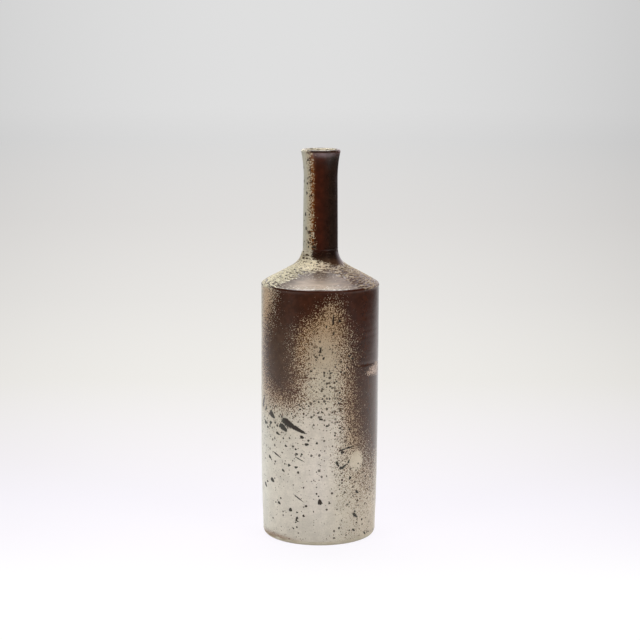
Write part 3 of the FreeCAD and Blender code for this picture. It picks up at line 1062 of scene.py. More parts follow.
@dataclass(frozen=True)
class IronAshGlaze:
    """The outside glaze: ash-grey where thin, iron brown where poured, with stippled edges."""

    name: str = "iron and ash glaze"
    rust: tuple[float, float, float] = (158.0, 120.0, 72.0)
    brown_mark: tuple[float, float, float] = (34.0, 22.0, 11.0)
    grey_mark: tuple[float, float, float] = (46.0, 43.0, 35.0)
    speck: tuple[float, float, float] = (42.0, 29.0, 18.0)
    toast: tuple[float, float, float] = (124.0, 88.0, 60.0)
    grain: float = 1.2
    grain_swing: float = 12.0
    flake_swing: float = 18.0
    edge: float = 0.26
    pale_roughness: float = 0.34
    iron_roughness: float = 0.22
    shine: float = 1.42
    satin_roughness: float = 0.44
    ash_roughness: float = 0.6

    def material(self) -> bpy.types.Material:
        """Build the glaze.

        Returns:
            The material.
        """
        shade = Shade(self.name)
        flow = shade.stored("flow", "Vector")
        stipple = self.stipple(shade, flow)
        iron = shade.grade(stipple, -self.edge, self.edge)
        pale = self.pale(shade, flow)
        dark = self.dark(shade, flow)
        halo = shade.grade(stipple, -1.1, -0.2)
        colour = shade.mix(shade.times(halo, shade.stored("rust")), pale, linear(*self.rust))
        colour = shade.mix(iron, colour, dark)
        marks = self.marks(shade, flow)
        colour = shade.mix(marks, colour, self.mark_colour(shade, flow))
        colour = shade.mix(shade.stored("toast"), colour, linear(*self.toast))
        roughness = shade.maths("MULTIPLY_ADD", iron, self.iron_roughness - self.pale_roughness,
                                self.pale_roughness)
        ash = shade.times(shade.stored("ash"), shade.rest(iron))
        roughness = shade.maths("MULTIPLY_ADD", ash, self.ash_roughness - self.pale_roughness,
                                roughness)
        satin = shade.times(shade.stored("satin"), iron)
        roughness = shade.maths("MULTIPLY_ADD", satin, self.satin_roughness - self.iron_roughness,
                                roughness)
        blotch = shade.noise(flow, 0.35, 3.0)
        roughness = shade.maths("MULTIPLY_ADD", blotch, 0.12,
                                shade.maths("SUBTRACT", roughness, 0.06))
        shade.set(Base_Color=colour, Roughness=roughness, IOR=self.shine)
        grain = shade.maths("MULTIPLY_ADD", shade.noise(flow, 2.6, 3.0, 0.6), 0.5,
                            shade.times(iron, 0.25))
        grain = shade.maths("MULTIPLY_ADD", marks, 0.5, grain)
        shade.set(Normal=shade.bump(grain, 0.00002, 0.6))
        return shade.material

    def stipple(self, shade: Shade, flow: bpy.types.NodeSocket) -> bpy.types.NodeSocket:
        """Where iron shows, as a score that is positive there.

        Args:
            shade: the tree to add to.
            flow: the coordinates that follow the surface.

        Returns:
            The score.
        """
        grain = shade.noise(flow, self.grain, 2.0, 0.6)
        flakes = crust_lie(shade, flow)
        swing = shade.maths("MULTIPLY_ADD", grain, self.grain_swing, -self.grain_swing / 2)
        raised = shade.maths("MULTIPLY_ADD", flakes, -self.flake_swing, self.flake_swing / 2)
        loose = shade.joined("ShaderNodeMix", shade.grade(shade.stored("ash"), 0.0, 0.2), None,
                             swing, raised, data_type="FLOAT")
        return shade.plus(loose, shade.stored("iron"))

    def pale(self, shade: Shade, flow: bpy.types.NodeSocket) -> bpy.types.NodeSocket:
        """The ash-grey glaze with its cloudiness, faint lines and dark specks.

        Args:
            shade: the tree to add to.
            flow: the coordinates that follow the surface.

        Returns:
            Its colour.
        """
        cloud = shade.grade(shade.noise(flow, 0.13, 3.0, 0.6), 0.34, 0.66, 0.93, 1.06)
        mottle = shade.grade(shade.noise(flow, 0.9, 2.0), 0.35, 0.68, 1.04, 0.93)
        level = shade.noise(shade.vector("MULTIPLY", flow, (0.16, 0.16, 1.9)), 1.0, 2.0)
        level = shade.grade(level, 0.56, 0.7, 1.0, 0.9)
        upright = shade.noise(shade.vector("MULTIPLY", flow, (1.9, 1.9, 0.13)), 1.0, 2.0)
        upright = shade.grade(upright, 0.6, 0.74, 1.0, 0.9)
        tone = shade.times(shade.times(cloud, mottle), shade.times(level, upright))
        colour = shade.scaled(shade.stored("pale", "Color"), tone)
        for scale, size, strength in ((0.5, 0.62, 1.0), (0.95, 0.55, 0.75)):
            colour = self.peppered(shade, flow, colour, scale, size, strength)
        return colour

    def peppered(self, shade: Shade, flow: bpy.types.NodeSocket, colour: bpy.types.NodeSocket,
                 scale: float, size: float, strength: float) -> bpy.types.NodeSocket:
        """Strew specks of iron over a colour, as thickly as the coat's pepper value says.

        Args:
            shade: the tree to add to.
            flow: the coordinates that follow the surface.
            colour: the colour below.
            scale: cells to a millimetre, each with room for one speck.
            size: radius of the largest specks, in cells.
            strength: how dark the darkest are.

        Returns:
            The colour with its specks.
        """
        cell = shade.cells(flow, scale)
        chance = shade.split(cell["Color"])
        rare = shade.maths("DIVIDE", shade.rest(chance[0]), shade.stored("pepper"))
        present = shade.maths("MULTIPLY_ADD", rare, -3.0, 3.0, clamp=True)
        largest = shade.grade(chance[2], 0.0, 1.0, size * 0.45, size)
        reach = shade.maths("MULTIPLY_ADD", present, largest, -0.06)
        edge = shade.maths("SUBTRACT", cell["Distance"], reach)
        specks = shade.grade(edge, -0.05, 0.05, 1.0, 0.0)
        darkness = shade.grade(chance[1], 0.0, 1.0, strength * 0.75, strength)
        return shade.mix(shade.times(specks, darkness), colour, linear(*self.speck))

    def dark(self, shade: Shade, flow: bpy.types.NodeSocket) -> bpy.types.NodeSocket:
        """The iron glaze, which breaks a little lighter where thin."""
        cloud = shade.grade(shade.noise(flow, 0.22, 4.0, 0.65), 0.38, 0.68, 0.85, 1.3)
        return shade.scaled(shade.stored("dark", "Color"), cloud)

    def marks(self, shade: Shade, flow: bpy.types.NodeSocket) -> bpy.types.NodeSocket:
        """Where drops and dashes lie.

        Args:
            shade: the tree to add to.
            flow: the coordinates that follow the surface.

        Returns:
            The share that they cover.
        """
        wobble = shade.maths("MULTIPLY_ADD", shade.noise(flow, 0.8, 2.0, 0.6), 0.9, -0.45)
        covered = None
        for number in range(1, MARK_LAYERS + 1):
            ahead, aside, beside = shade.split(shade.stored(f"marks_{number}", "Vector"))
            tip = shade.maths("MULTIPLY_ADD", ahead, 0.42, 1.0)
            oval = shade.joined("ShaderNodeCombineXYZ", ahead, shade.times(aside, tip),
                                shade.maths("MULTIPLY_ADD", beside, -8.0, 8.0))
            reach = shade.plus(shade.vector("LENGTH", oval), wobble)
            drop = shade.grade(reach, 0.86, 1.14, 1.0, 0.0)
            covered = drop if covered is None else shade.maths("MAXIMUM", covered, drop)
        return covered

    def mark_colour(self, shade: Shade, flow: bpy.types.NodeSocket) -> bpy.types.NodeSocket:
        """The drops' own colour: brown high on the wall, between brown and grey lower down.

        Args:
            shade: the tree to add to.
            flow: the coordinates that follow the surface.

        Returns:
            That colour.
        """
        tint = shade.grade(shade.noise(flow, 0.06, 2.0), 0.4, 0.6)
        low = shade.grade(shade.split(flow)[2], 100.0, 112.0, 1.0, 0.0)
        return shade.mix(shade.times(tint, low), linear(*self.brown_mark),
                         linear(*self.grey_mark))


@dataclass(frozen=True)
class LinerFinish:
    """The glaze inside: pale and glossy, with iron specks."""

    name: str = "liner glaze"
    pale: tuple[float, float, float] = (186.0, 176.0, 152.0)
    thin: tuple[float, float, float] = (150.0, 122.0, 88.0)
    speck: tuple[float, float, float] = (74.0, 54.0, 40.0)
    shine: float = 1.5

    def material(self) -> bpy.types.Material:
        """Build the glaze.

        Returns:
            The material.
        """
        shade = Shade(self.name)
        place = shade.place()
        thin = shade.grade(shade.noise(place, 0.12, 4.0, 0.6), 0.42, 0.66)
        colour = shade.mix(thin, linear(*self.pale), linear(*self.thin))
        speck = shade.maths("LESS_THAN", shade.cells(place, 0.5)["Distance"], 0.12)
        colour = shade.mix(speck, colour, linear(*self.speck))
        roughness = shade.grade(shade.noise(place, 0.3, 2.0), 0.3, 0.7, 0.2, 0.34)
        shade.set(Base_Color=colour, Roughness=roughness, IOR=self.shine,
                  Normal=shade.bump(shade.noise(place, 1.6, 3.0), 0.0001, 0.6))
        return shade.material


@dataclass(frozen=True)
class ClayFinish:
    """Fired stoneware: speckled, toasted near the glaze line, and rough."""

    name: str = "bare stoneware"
    buff: tuple[float, float, float] = (196.0, 188.0, 170.0)
    toast: tuple[float, float, float] = (134.0, 114.0, 90.0)
    iron: tuple[float, float, float] = (62.0, 44.0, 34.0)
    cloudy: tuple[float, float, float] = (180.0, 166.0, 142.0)
    toast_from: float = 0.0006
    toast_to: float = 0.0032

    def material(self) -> bpy.types.Material:
        """Build the clay.

        Returns:
            The material.
        """
        shade = Shade(self.name)
        place = shade.place()
        own = shade.split(shade.node("ShaderNodeTexCoord").outputs["Object"])
        cloud = shade.noise(place, 0.11, 4.0, 0.6)
        colour = shade.mix(shade.grade(cloud, 0.35, 0.65, 0.0, 0.5), linear(*self.buff),
                           linear(*self.cloudy))
        edge = shade.times(shade.grade(own[2], self.toast_from, self.toast_to),
                           shade.grade(cloud, 0.25, 0.6),
                           shade.grade(own[0], -0.036, -0.012, 1.0, 0.1))
        colour = shade.mix(edge, colour, linear(*self.toast))
        grog = shade.maths("LESS_THAN", shade.cells(place, 0.9)["Distance"], 0.13)
        colour = shade.mix(shade.times(grog, 0.8), colour, linear(*self.iron))
        sand = shade.noise(place, 3.2, 4.0, 0.7)
        shade.set(Base_Color=colour, Roughness=shade.grade(sand, 0.3, 0.7, 0.72, 0.9),
                  Normal=shade.bump(sand, 0.00018, 0.8))
        return shade.material


@dataclass(frozen=True)
class SlipFinish:
    """Fired slip in the joints: finer than the clay and a little lighter."""

    name: str = "fired slip"
    body: tuple[float, float, float] = (176.0, 144.0, 114.0)
    shade_tone: tuple[float, float, float] = (150.0, 116.0, 88.0)

    def material(self) -> bpy.types.Material:
        """Build the slip.

        Returns:
            The material.
        """
        shade = Shade(self.name)
        place = shade.place()
        cloud = shade.noise(place, 0.4, 3.0)
        shade.set(Base_Color=shade.mix(shade.grade(cloud, 0.3, 0.7), linear(*self.body),
                                       linear(*self.shade_tone)),
                  Roughness=shade.grade(cloud, 0.3, 0.7, 0.7, 0.85),
                  Normal=shade.bump(shade.noise(place, 4.0, 3.0), 0.0001, 0.7))
        return shade.material


@dataclass(frozen=True)
class Relief:
    """The sizes of a coat's relief in millimetres."""

    sink: float
    glaze_wave: float
    throwing_lines: float
    crust_height: float = 0.0


@dataclass
class GlazeCoat:
    """A coat turned on its stretch of the section; each kind paints and raises its own glaze."""

    section: VaseSection
    turner: TurnedCoatTree
    relief: ReliefTree
    finish: bpy.types.Material
    name: str = "glaze_coat"
    columns: int = 240
    crowding: float = 0.0
    back_step: int = 12
    cad_nodes: tuple[str, ...] = ()
    slot: Slot = Slot.OUTER_GLAZE
    steps: dict[Stretch, float] = field(default_factory=dict)
    heights: Relief = Relief(0.08, 0.06, 0.05)
    ring: bool = False

    def build(self) -> bpy.types.Object:
        """Turn, paint and raise the coat, and join it to the frame.

        Returns:
            The coat.
        """
        line = self.section.line(self.steps)
        made = self.turn(line)
        self.paint(Paint(made.data))
        self.raise_relief(made)
        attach(made, ROOT_BODY)
        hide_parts(*self.cad_nodes)
        made.data.calc_loop_triangles()
        log.info("%s: %d triangles", self.name, len(made.data.loop_triangles))
        return made

    def turn(self, line: Line) -> bpy.types.Object:
        """Turn the coat's closed half section.

        Args:
            line: the glazed face.

        Returns:
            The coat without its relief.
        """
        glaze = self.section.sizes.glaze
        back = list(range(len(line.points) - 1, 0, -self.back_step)) + [0]
        points = list(line.points)
        skin = [1.0] * len(points)
        along = [0.0]
        for first, second in zip(points, points[1:]):
            along.append(along[-1] + math.dist(first, second))
        for number in back:
            (radius, height), (across, up) = line.points[number], line.normals[number]
            points.append((max(0.0, radius - glaze * across), height - glaze * up))
            skin.append(0.0)
            along.append(along[number])
        points.append(points[0])
        skin.append(1.0)
        along.append(along[0])
        mesh = bpy.data.meshes.new(self.name + "_section")
        mesh.from_pydata([(radius * MM, 0.0, height * MM) for radius, height in points],
                         [(number, number + 1) for number in range(len(points) - 1)], [])
        for name, values in (("along", along), ("skin", skin)):
            mesh.attributes.new(name, "FLOAT", "POINT").data.foreach_set("value", values)
        half = bpy.data.objects.new(self.name + "_section", mesh)
        bpy.context.scene.collection.objects.link(half)
        shell = self.turner.apply(half, Columns=self.columns, Rows=len(points),
                                  Front_Crowding=self.crowding, Seam_Join=SEAM_JOIN,
                                  Material=self.finish)
        bpy.data.objects.remove(half)
        self.drop_loose(shell)
        shell.name = self.name
        made = bpy.data.objects.new(self.name, shell)
        bpy.context.scene.collection.objects.link(made)
        self.lay = ChartLay(len(points), len(line.points), self.ring)
        return made

    @staticmethod
    def drop_loose(mesh: bpy.types.Mesh) -> None:
        """Take away edges that no face uses, as at the axis.

        Args:
            mesh: the shell.
        """
        work = bmesh.new()
        work.from_mesh(mesh)
        loose = [edge for edge in work.edges if not edge.link_faces]
        bmesh.ops.delete(work, geom=loose, context="EDGES")
        work.to_mesh(mesh)
        work.free()

    def paint(self, paint: Paint) -> None:
        """Write the coat's own values.

        Args:
            paint: the coat's points.
        """
        raise NotImplementedError

    def raise_relief(self, made: bpy.types.Object) -> None:
        """Raise the coat's relief.

        Args:
            made: the painted coat.
        """
        sizes = self.heights
        raised = self.relief.apply(
            made, Material=self.finish, Sink=sizes.sink, Glaze_Wave=sizes.glaze_wave,
            Throwing_Lines=sizes.throwing_lines, Crust_Height=sizes.crust_height)
        flat = made.data
        made.data = raised
        bpy.data.meshes.remove(flat)
        raised.name = self.name


POUR = (
    (-39, 240), (-41, 194), (-46, 180), (-57, 166), (-62, 150), (-60, 134), (-53, 121), (-40, 112),
    (-24, 110), (-15.5, 116), (-14.5, 136), (-15, 150), (-11.5, 163), (-6, 170), (3, 178),
    (7, 183.5), (9.5, 185.5), (12, 182.5), (13, 174), (15.5, 165), (19.5, 152), (20.5, 136),
    (20.5, 120), (21, 104), (26, 86), (33, 63), (42, 50), (56, 50), (70, 58), (84, 60), (94, 72),
    (106, 76), (116, 82), (124, 96), (136, 92), (148, 84), (158, 96), (166, 120), (174, 130),
    (180, 150), (182, 175), (184, 240))
STIPPLE_REACH = 7.6


@dataclass
class BodyGlaze(GlazeCoat):
    """The coat on the straight wall, with the iron pour, its stippled edges and brushed drops."""

    name: str = "body_coat"
    columns: int = 400
    crowding: float = 0.35
    heights: Relief = Relief(0.11, 0.05, 0.045)
    scar_paleness: float = 0.78
    groove_depth: float = 0.16
    groove_width: float = 0.9
    cad_nodes: tuple[str, ...] = ("outer_glaze",)
    steps: dict[Stretch, float] = field(
        default_factory=lambda: {Stretch.SIDE: 0.86, Stretch.WALL: 0.86})

    def paint(self, paint: Paint) -> None:
        """Write the wall's own values.

        Args:
            paint: the coat's points.
        """
        across = np.radians(paint.azimuth) * WALL_RADIUS
        up = paint.height
        paint.chart(self.lay)
        paint.room(1.2)
        paint.flow(WALL_RADIUS, 1.0, 1.0, up)
        covered = self.cover(across, up)
        paint.number("iron", score(covered))
        paint.number("rust", self.rust(across, up, covered))
        paint.colour("pale", blend_zones(self.pale_zones(), across, up, WALL_ROUND,
                                         linear(188, 178, 158)))
        paint.colour("dark", blend_zones(self.dark_zones(), across, up, WALL_ROUND,
                                         linear(70, 44, 34)))
        paint.number("pepper", self.pepper(across, up))
        paint.number("toast", self.toast(across, up))
        paint.number("mound", self.mound(across, up))
        paint.marks(self.drops(), WALL_RADIUS)

    def cover(self, across: np.ndarray, up: np.ndarray) -> np.ndarray:
        """Share of the wall that the iron glaze covers.

        Args:
            across: places round, in millimetres.
            up: places up.

        Returns:
            The share at each point.
        """
        behind = np.where(across < -70.0, across + WALL_ROUND, across)
        reach = STIPPLE_REACH * np.interp(up, (54.0, 76.0, 104.0, 125.0, 168.0, 186.0),
                                          (2.6, 1.4, 1.15, 1.0, 1.0, 0.68))
        share = share_of(inside_depth(POUR, behind, up) / reach)
        share *= np.maximum(smooth(4.0, 20.0, behind), smooth(92.0, 106.0, up))
        field_of_specks = blend_zones(share_zones(
            (30.0, 38.0, 11.0, 26.0, 0.08), (40.0, 42.0, 14.0, 14.0, 0.16),
            (50.0, 30.0, 14.0, 18.0, 0.07), (24.0, 80.0, 8.0, 12.0, 0.36),
            (19.0, 64.0, 6.0, 8.0, 0.3), (30.0, 8.0, 16.0, 6.0, 0.1),
            (0.0, 120.0, 22.0, 10.0, 0.04), (-48.0, 112.0, 14.0, 8.0, 0.16),
            (110.0, 60.0, 40.0, 20.0, 0.2), (-62.0, 165.0, 12.0, 36.0, 0.2),
            (-44.0, 3.0, 14.0, 2.4, 0.24), (-53.0, 106.0, 6.0, 5.0, 0.4)),
            across, up, WALL_ROUND, (0.0,), 0.3)[:, 0]
        share = np.maximum(share, field_of_specks)
        bald = np.maximum(nearness(Zone(30.8, 65.0, 6.8, 9.0, 0.0), across, up, WALL_ROUND),
                          nearness(Zone(38.0, 15.0, 4.2, 4.6, 0.0), across, up, WALL_ROUND))
        share *= 1.0 - smooth(0.28, 0.55, bald)
        scar = smooth(-1.4, 3.2, inside_depth(self.scar_outline(), across, up))
        return share * (1.0 - self.scar_paleness * scar)

    @staticmethod
    def scar_outline() -> tuple[tuple[float, float], ...]:
        """The pale wedge below the throwing line at the right."""
        return ((39.0, 131.5), (46.0, 136.5), (60.0, 139.0), (66.0, 136.0), (62.0, 127.5),
                (52.0, 128.5), (45.0, 129.5))

    @staticmethod
    def rust(across: np.ndarray, up: np.ndarray, covered: np.ndarray) -> np.ndarray:
        """How rusty the pale glaze is beside the iron.

        Args:
            across: the points' places round, in millimetres.
            up: the points' places up.
            covered: the share of iron there.

        Returns:
            The rust's share at each point.
        """
        band = covered * (1.0 - covered) * 4.0
        left_edge = np.exp(-((across + 13.0) / 7.0) ** 2 - ((up - 158.0) / 17.0) ** 2)
        return np.clip(0.08 + 0.4 * band + 0.45 * left_edge, 0.0, 1.0) * smooth(40.0, 130.0, up)

    @staticmethod
    def toast(across: np.ndarray, up: np.ndarray) -> np.ndarray:
        """How far the fire has toasted the glaze just above the foot."""
        left = blend_zones(share_zones((-42.0, 3.0, 16.0, 2.2, 1.0)), across, up, WALL_ROUND,
                           (0.0,), 0.4)[:, 0]
        return np.clip(left, 0.0, 0.75)

    @staticmethod
    def pepper(across: np.ndarray, up: np.ndarray) -> np.ndarray:
        """How thickly small specks lie on the pale glaze, as a share of the places for one.

        Args:
            across: the points' places round, in millimetres.
            up: the points' places up.

        Returns:
            That share at each point.
        """
        return blend_zones(share_zones(
            (4.0, 122.0, 14.0, 16.0, 0.6), (2.0, 104.0, 16.0, 9.0, 0.58),
            (4.0, 148.0, 12.0, 10.0, 0.3), (-10.0, 88.0, 12.0, 8.0, 0.26),
            (18.0, 98.0, 8.0, 12.0, 0.5), (-40.0, 95.0, 12.0, 12.0, 0.34),
            (-10.0, 65.0, 20.0, 12.0, 0.2), (18.0, 66.0, 5.0, 12.0, 0.45),
            (32.0, 40.0, 12.0, 20.0, 0.3), (0.0, 30.0, 18.0, 22.0, 0.08),
            (-40.0, 30.0, 16.0, 24.0, 0.08)), across, up, WALL_ROUND, (0.16,), 0.1)[:, 0]

    def mound(self, across: np.ndarray, up: np.ndarray) -> np.ndarray:
        """The one deep throwing line at the right, in millimetres.

        Args:
            across: the points' places round, in millimetres.
            up: the points' places up.

        Returns:
            The height that it adds at each point, below zero in the line.
        """
        height = np.interp(across, (24.0, 60.0), (140.4, 138.0))
        reach = window(26.0, 34.0, 66.0, 92.0, across)
        groove = np.exp(-((up - height) / self.groove_width) ** 2) * reach
        return -self.groove_depth * groove

    @staticmethod
    def pale_zones() -> tuple[Zone, ...]:
        """The ash glaze's tones.

        Returns:
            A zone for each tone.
        """
        # Lighter towards the left, darker and yellower to the right: partly the glaze's own tone,
        # partly painted light from the left. The paler grey close to the left edge is painted
        # reflection.
        return tone_zones(
            (-58, 40, 10, 40, 200, 197, 186), (-42, 40, 12, 40, 202, 195, 182),
            (-22, 36, 12, 40, 196, 188, 176), (0, 44, 12, 34, 198, 189, 179),
            (0, 14, 20, 12, 187, 180, 167), (18, 34, 10, 32, 192, 183, 166),
            (32, 30, 12, 26, 188, 176, 158), (50, 34, 12, 30, 182, 168, 148),
            (-2, 92, 18, 14, 190, 180, 167), (-34, 98, 14, 10, 184, 175, 158),
            (0, 122, 16, 14, 176, 165, 146), (0, 150, 16, 14, 160, 143, 120),
            (4, 172, 16, 12, 154, 127, 96), (-50, 130, 12, 20, 168, 148, 124),
            (-54, 172, 8, 28, 166, 138, 108), (55, 133, 14, 6, 174, 152, 140),
            (-66, 170, 7, 40, 184, 178, 158), (-30, 128, 10, 16, 160, 136, 108),
            (30, 100, 8, 40, 160, 136, 106), (31, 65, 7, 8, 206, 196, 178),
            (-90, 90, 24, 70, 186, 178, 162), (-57, 78, 8, 12, 190, 186, 174))

    @staticmethod
    def dark_zones() -> tuple[Zone, ...]:
        """The iron glaze's tones.

        Returns:
            A zone for each tone.
        """
        return tone_zones(
            (0, 190, 40, 20, 51, 24, 11), (40, 176, 18, 26, 50, 20, 6),
            (-30, 184, 14, 12, 56, 30, 15), (-35, 150, 12, 24, 64, 44, 28),
            (36, 146, 12, 16, 50, 26, 12), (44, 104, 14, 24, 61, 38, 24),
            (46, 72, 14, 14, 76, 54, 40), (42, 44, 20, 16, 96, 70, 46),
            (100, 150, 40, 50, 52, 26, 14), (130, 110, 40, 30, 64, 40, 26))

    @staticmethod
    def drops() -> tuple[Mark, ...]:
        """The splashes, drops and dashes on the wall.

        Returns:
            A mark for each.
        """
        return tuple(Mark(*row) for row in (
            (-24.6, 94.9, 14, 5.2, -25), (-29.6, 91.2, 9, 4.2, -31),
            (-17.5, 91.6, 15.5, 3.2, -23), (-42, 99.3, 8, 4, -35), (-43.8, 92.7, 3.5, 2.5, 20),
            (-52, 91.5, 4, 3, 0), (-48.3, 88.5, 3, 2, 0), (-35, 85.7, 4.2, 2, -20),
            (-13.3, 85.5, 3.5, 2.3, -10), (-9.5, 80.2, 3.2, 2, 0), (-29.5, 82.8, 1.6, 1.4, 0),
            (-27, 77.2, 2.6, 1.5, -15), (-18.5, 75.7, 1.8, 1.3, 0), (-2, 81.5, 2, 1.6, 90),
            (-17.5, 72.2, 2, 1.3, 0), (-13.5, 72.2, 1.7, 1.5, 0), (-45, 65.3, 4, 2.2, -25),
            (-24.2, 62.5, 2.4, 2.1, 0), (-18, 61.7, 3, 1.6, 20), (-29.7, 57.5, 3.2, 1.6, -35),
            (-42, 47.7, 5, 3, -30), (-49.5, 45, 3, 1.5, 0), (-53, 41.5, 5, 3, -35),
            (-34.3, 31, 3.2, 2, -30), (-23.3, 27.6, 3, 2.8, 90), (-17.6, 21.7, 2.2, 1.8, 90),
            (-17.8, 14.2, 1.6, 1.4, 0), (-20.8, 12.7, 1.4, 1.1, 0), (-17.5, 26, 1.6, 1.3, 0),
            (-17.2, 19.0, 1.3, 1.1, 0), (0.6, 35.2, 4.6, 3.3, 100), (-0.4, 39.8, 1.3, 1.1, 0),
            (-16, 37.2, 9, 1.0, -33), (18, 73.7, 2.8, 2.4, 0), (25, 52.7, 2.6, 2.4, 0),
            (32, 40.5, 3.8, 1.9, -35), (28.2, 37.8, 1.3, 1.2, 0), (33.5, 29.7, 1.3, 1.2, 0),
            (30.2, 25.5, 2, 1.4, 90), (30.5, 22.2, 6.6, 2.2, -42), (29.5, 10.5, 3.6, 1.5, -35),
            (42.5, 5.4, 4.2, 1.5, -40), (6, 94.7, 2.6, 1.3, 0), (16, 92.7, 2, 1.3, 0),
            (24, 91, 2, 1.8, 0), (-57, 107, 11, 3, 65), (-51, 103, 6, 1.8, 55),
            (-36, 68.8, 9, 1.3, -22), (-15, 68, 8.5, 0.8, -25), (10, 176, 8, 1.5, 88),
            (0.5, 153, 5, 1.5, 80), (3, 147, 2.6, 1.3, 60), (10.5, 166, 3, 1.2, 80),
            (5, 171, 2.4, 1.2, 70), (15, 175, 2.6, 2, 80), (-3.3, 148, 1.5, 1.4),
            (-2.6, 145.5, 1.4, 1.2), (-6.5, 137, 1.9, 1.4, -30), (3.5, 136, 1.8, 1.3),
            (8.5, 135.5, 2.6, 1.2, 10), (12, 140, 1.6, 1.2), (16.5, 136, 1.8, 1.4),
            (16.5, 144, 1.4, 1.2), (19.5, 135, 1.6, 1.4), (13, 129, 1.5, 1.2),
            (8, 125, 1.4, 1.1), (15.5, 120, 1.6, 1.4), (7.7, 115.7, 1.5, 1.3),
            (16.5, 115, 1.5, 1.2), (14.8, 112, 1.4, 1.2), (4.7, 112, 1.3, 1.2),
            (-8.3, 110, 1.4, 1.3), (-15.7, 110.5, 1.5, 1.2), (-15, 107, 1.7, 1.4),
            (-12.5, 108, 1.2, 1.1), (-1, 105, 2.2, 1.2, 30), (2, 105.5, 2.4, 1.1, -25),
            (1, 100, 2.4, 1.6, 10), (-22, 103, 1.4, 1.3), (-44.5, 105, 2.0, 1.5),
            (-37.5, 107, 1.6, 1.4), (-31, 99.5, 1.8, 1.4), (14.2, 64.4, 5.4, 1.9, -60),
            (19.2, 62.2, 5.6, 1.9, 38), (17, 61.4, 3, 2.2, 0), (23.5, 66, 3.4, 1.3, 70),
            (18.5, 75.6, 5, 1.2, 12), (24, 76.8, 7, 1.3, 8), (24, 148, 3.4, 1.4, 30),
            (26, 145.5, 2.4, 1.3, -20), (22, 139, 2.0, 1.2, 0), (96, 42, 9, 2.6, -35),
            (104, 34, 3.4, 2.2, 0), (88, 30, 2.4, 1.8, 20), (112, 22, 2.8, 2.0, 0),
            (-88, 84, 8, 3, 30), (-80, 62, 3, 2, 0), (-98, 50, 3.6, 2.4, -20),
            (-72, 30, 2.4, 2.0, 0), (-110, 34, 2.2, 1.8, 0)))


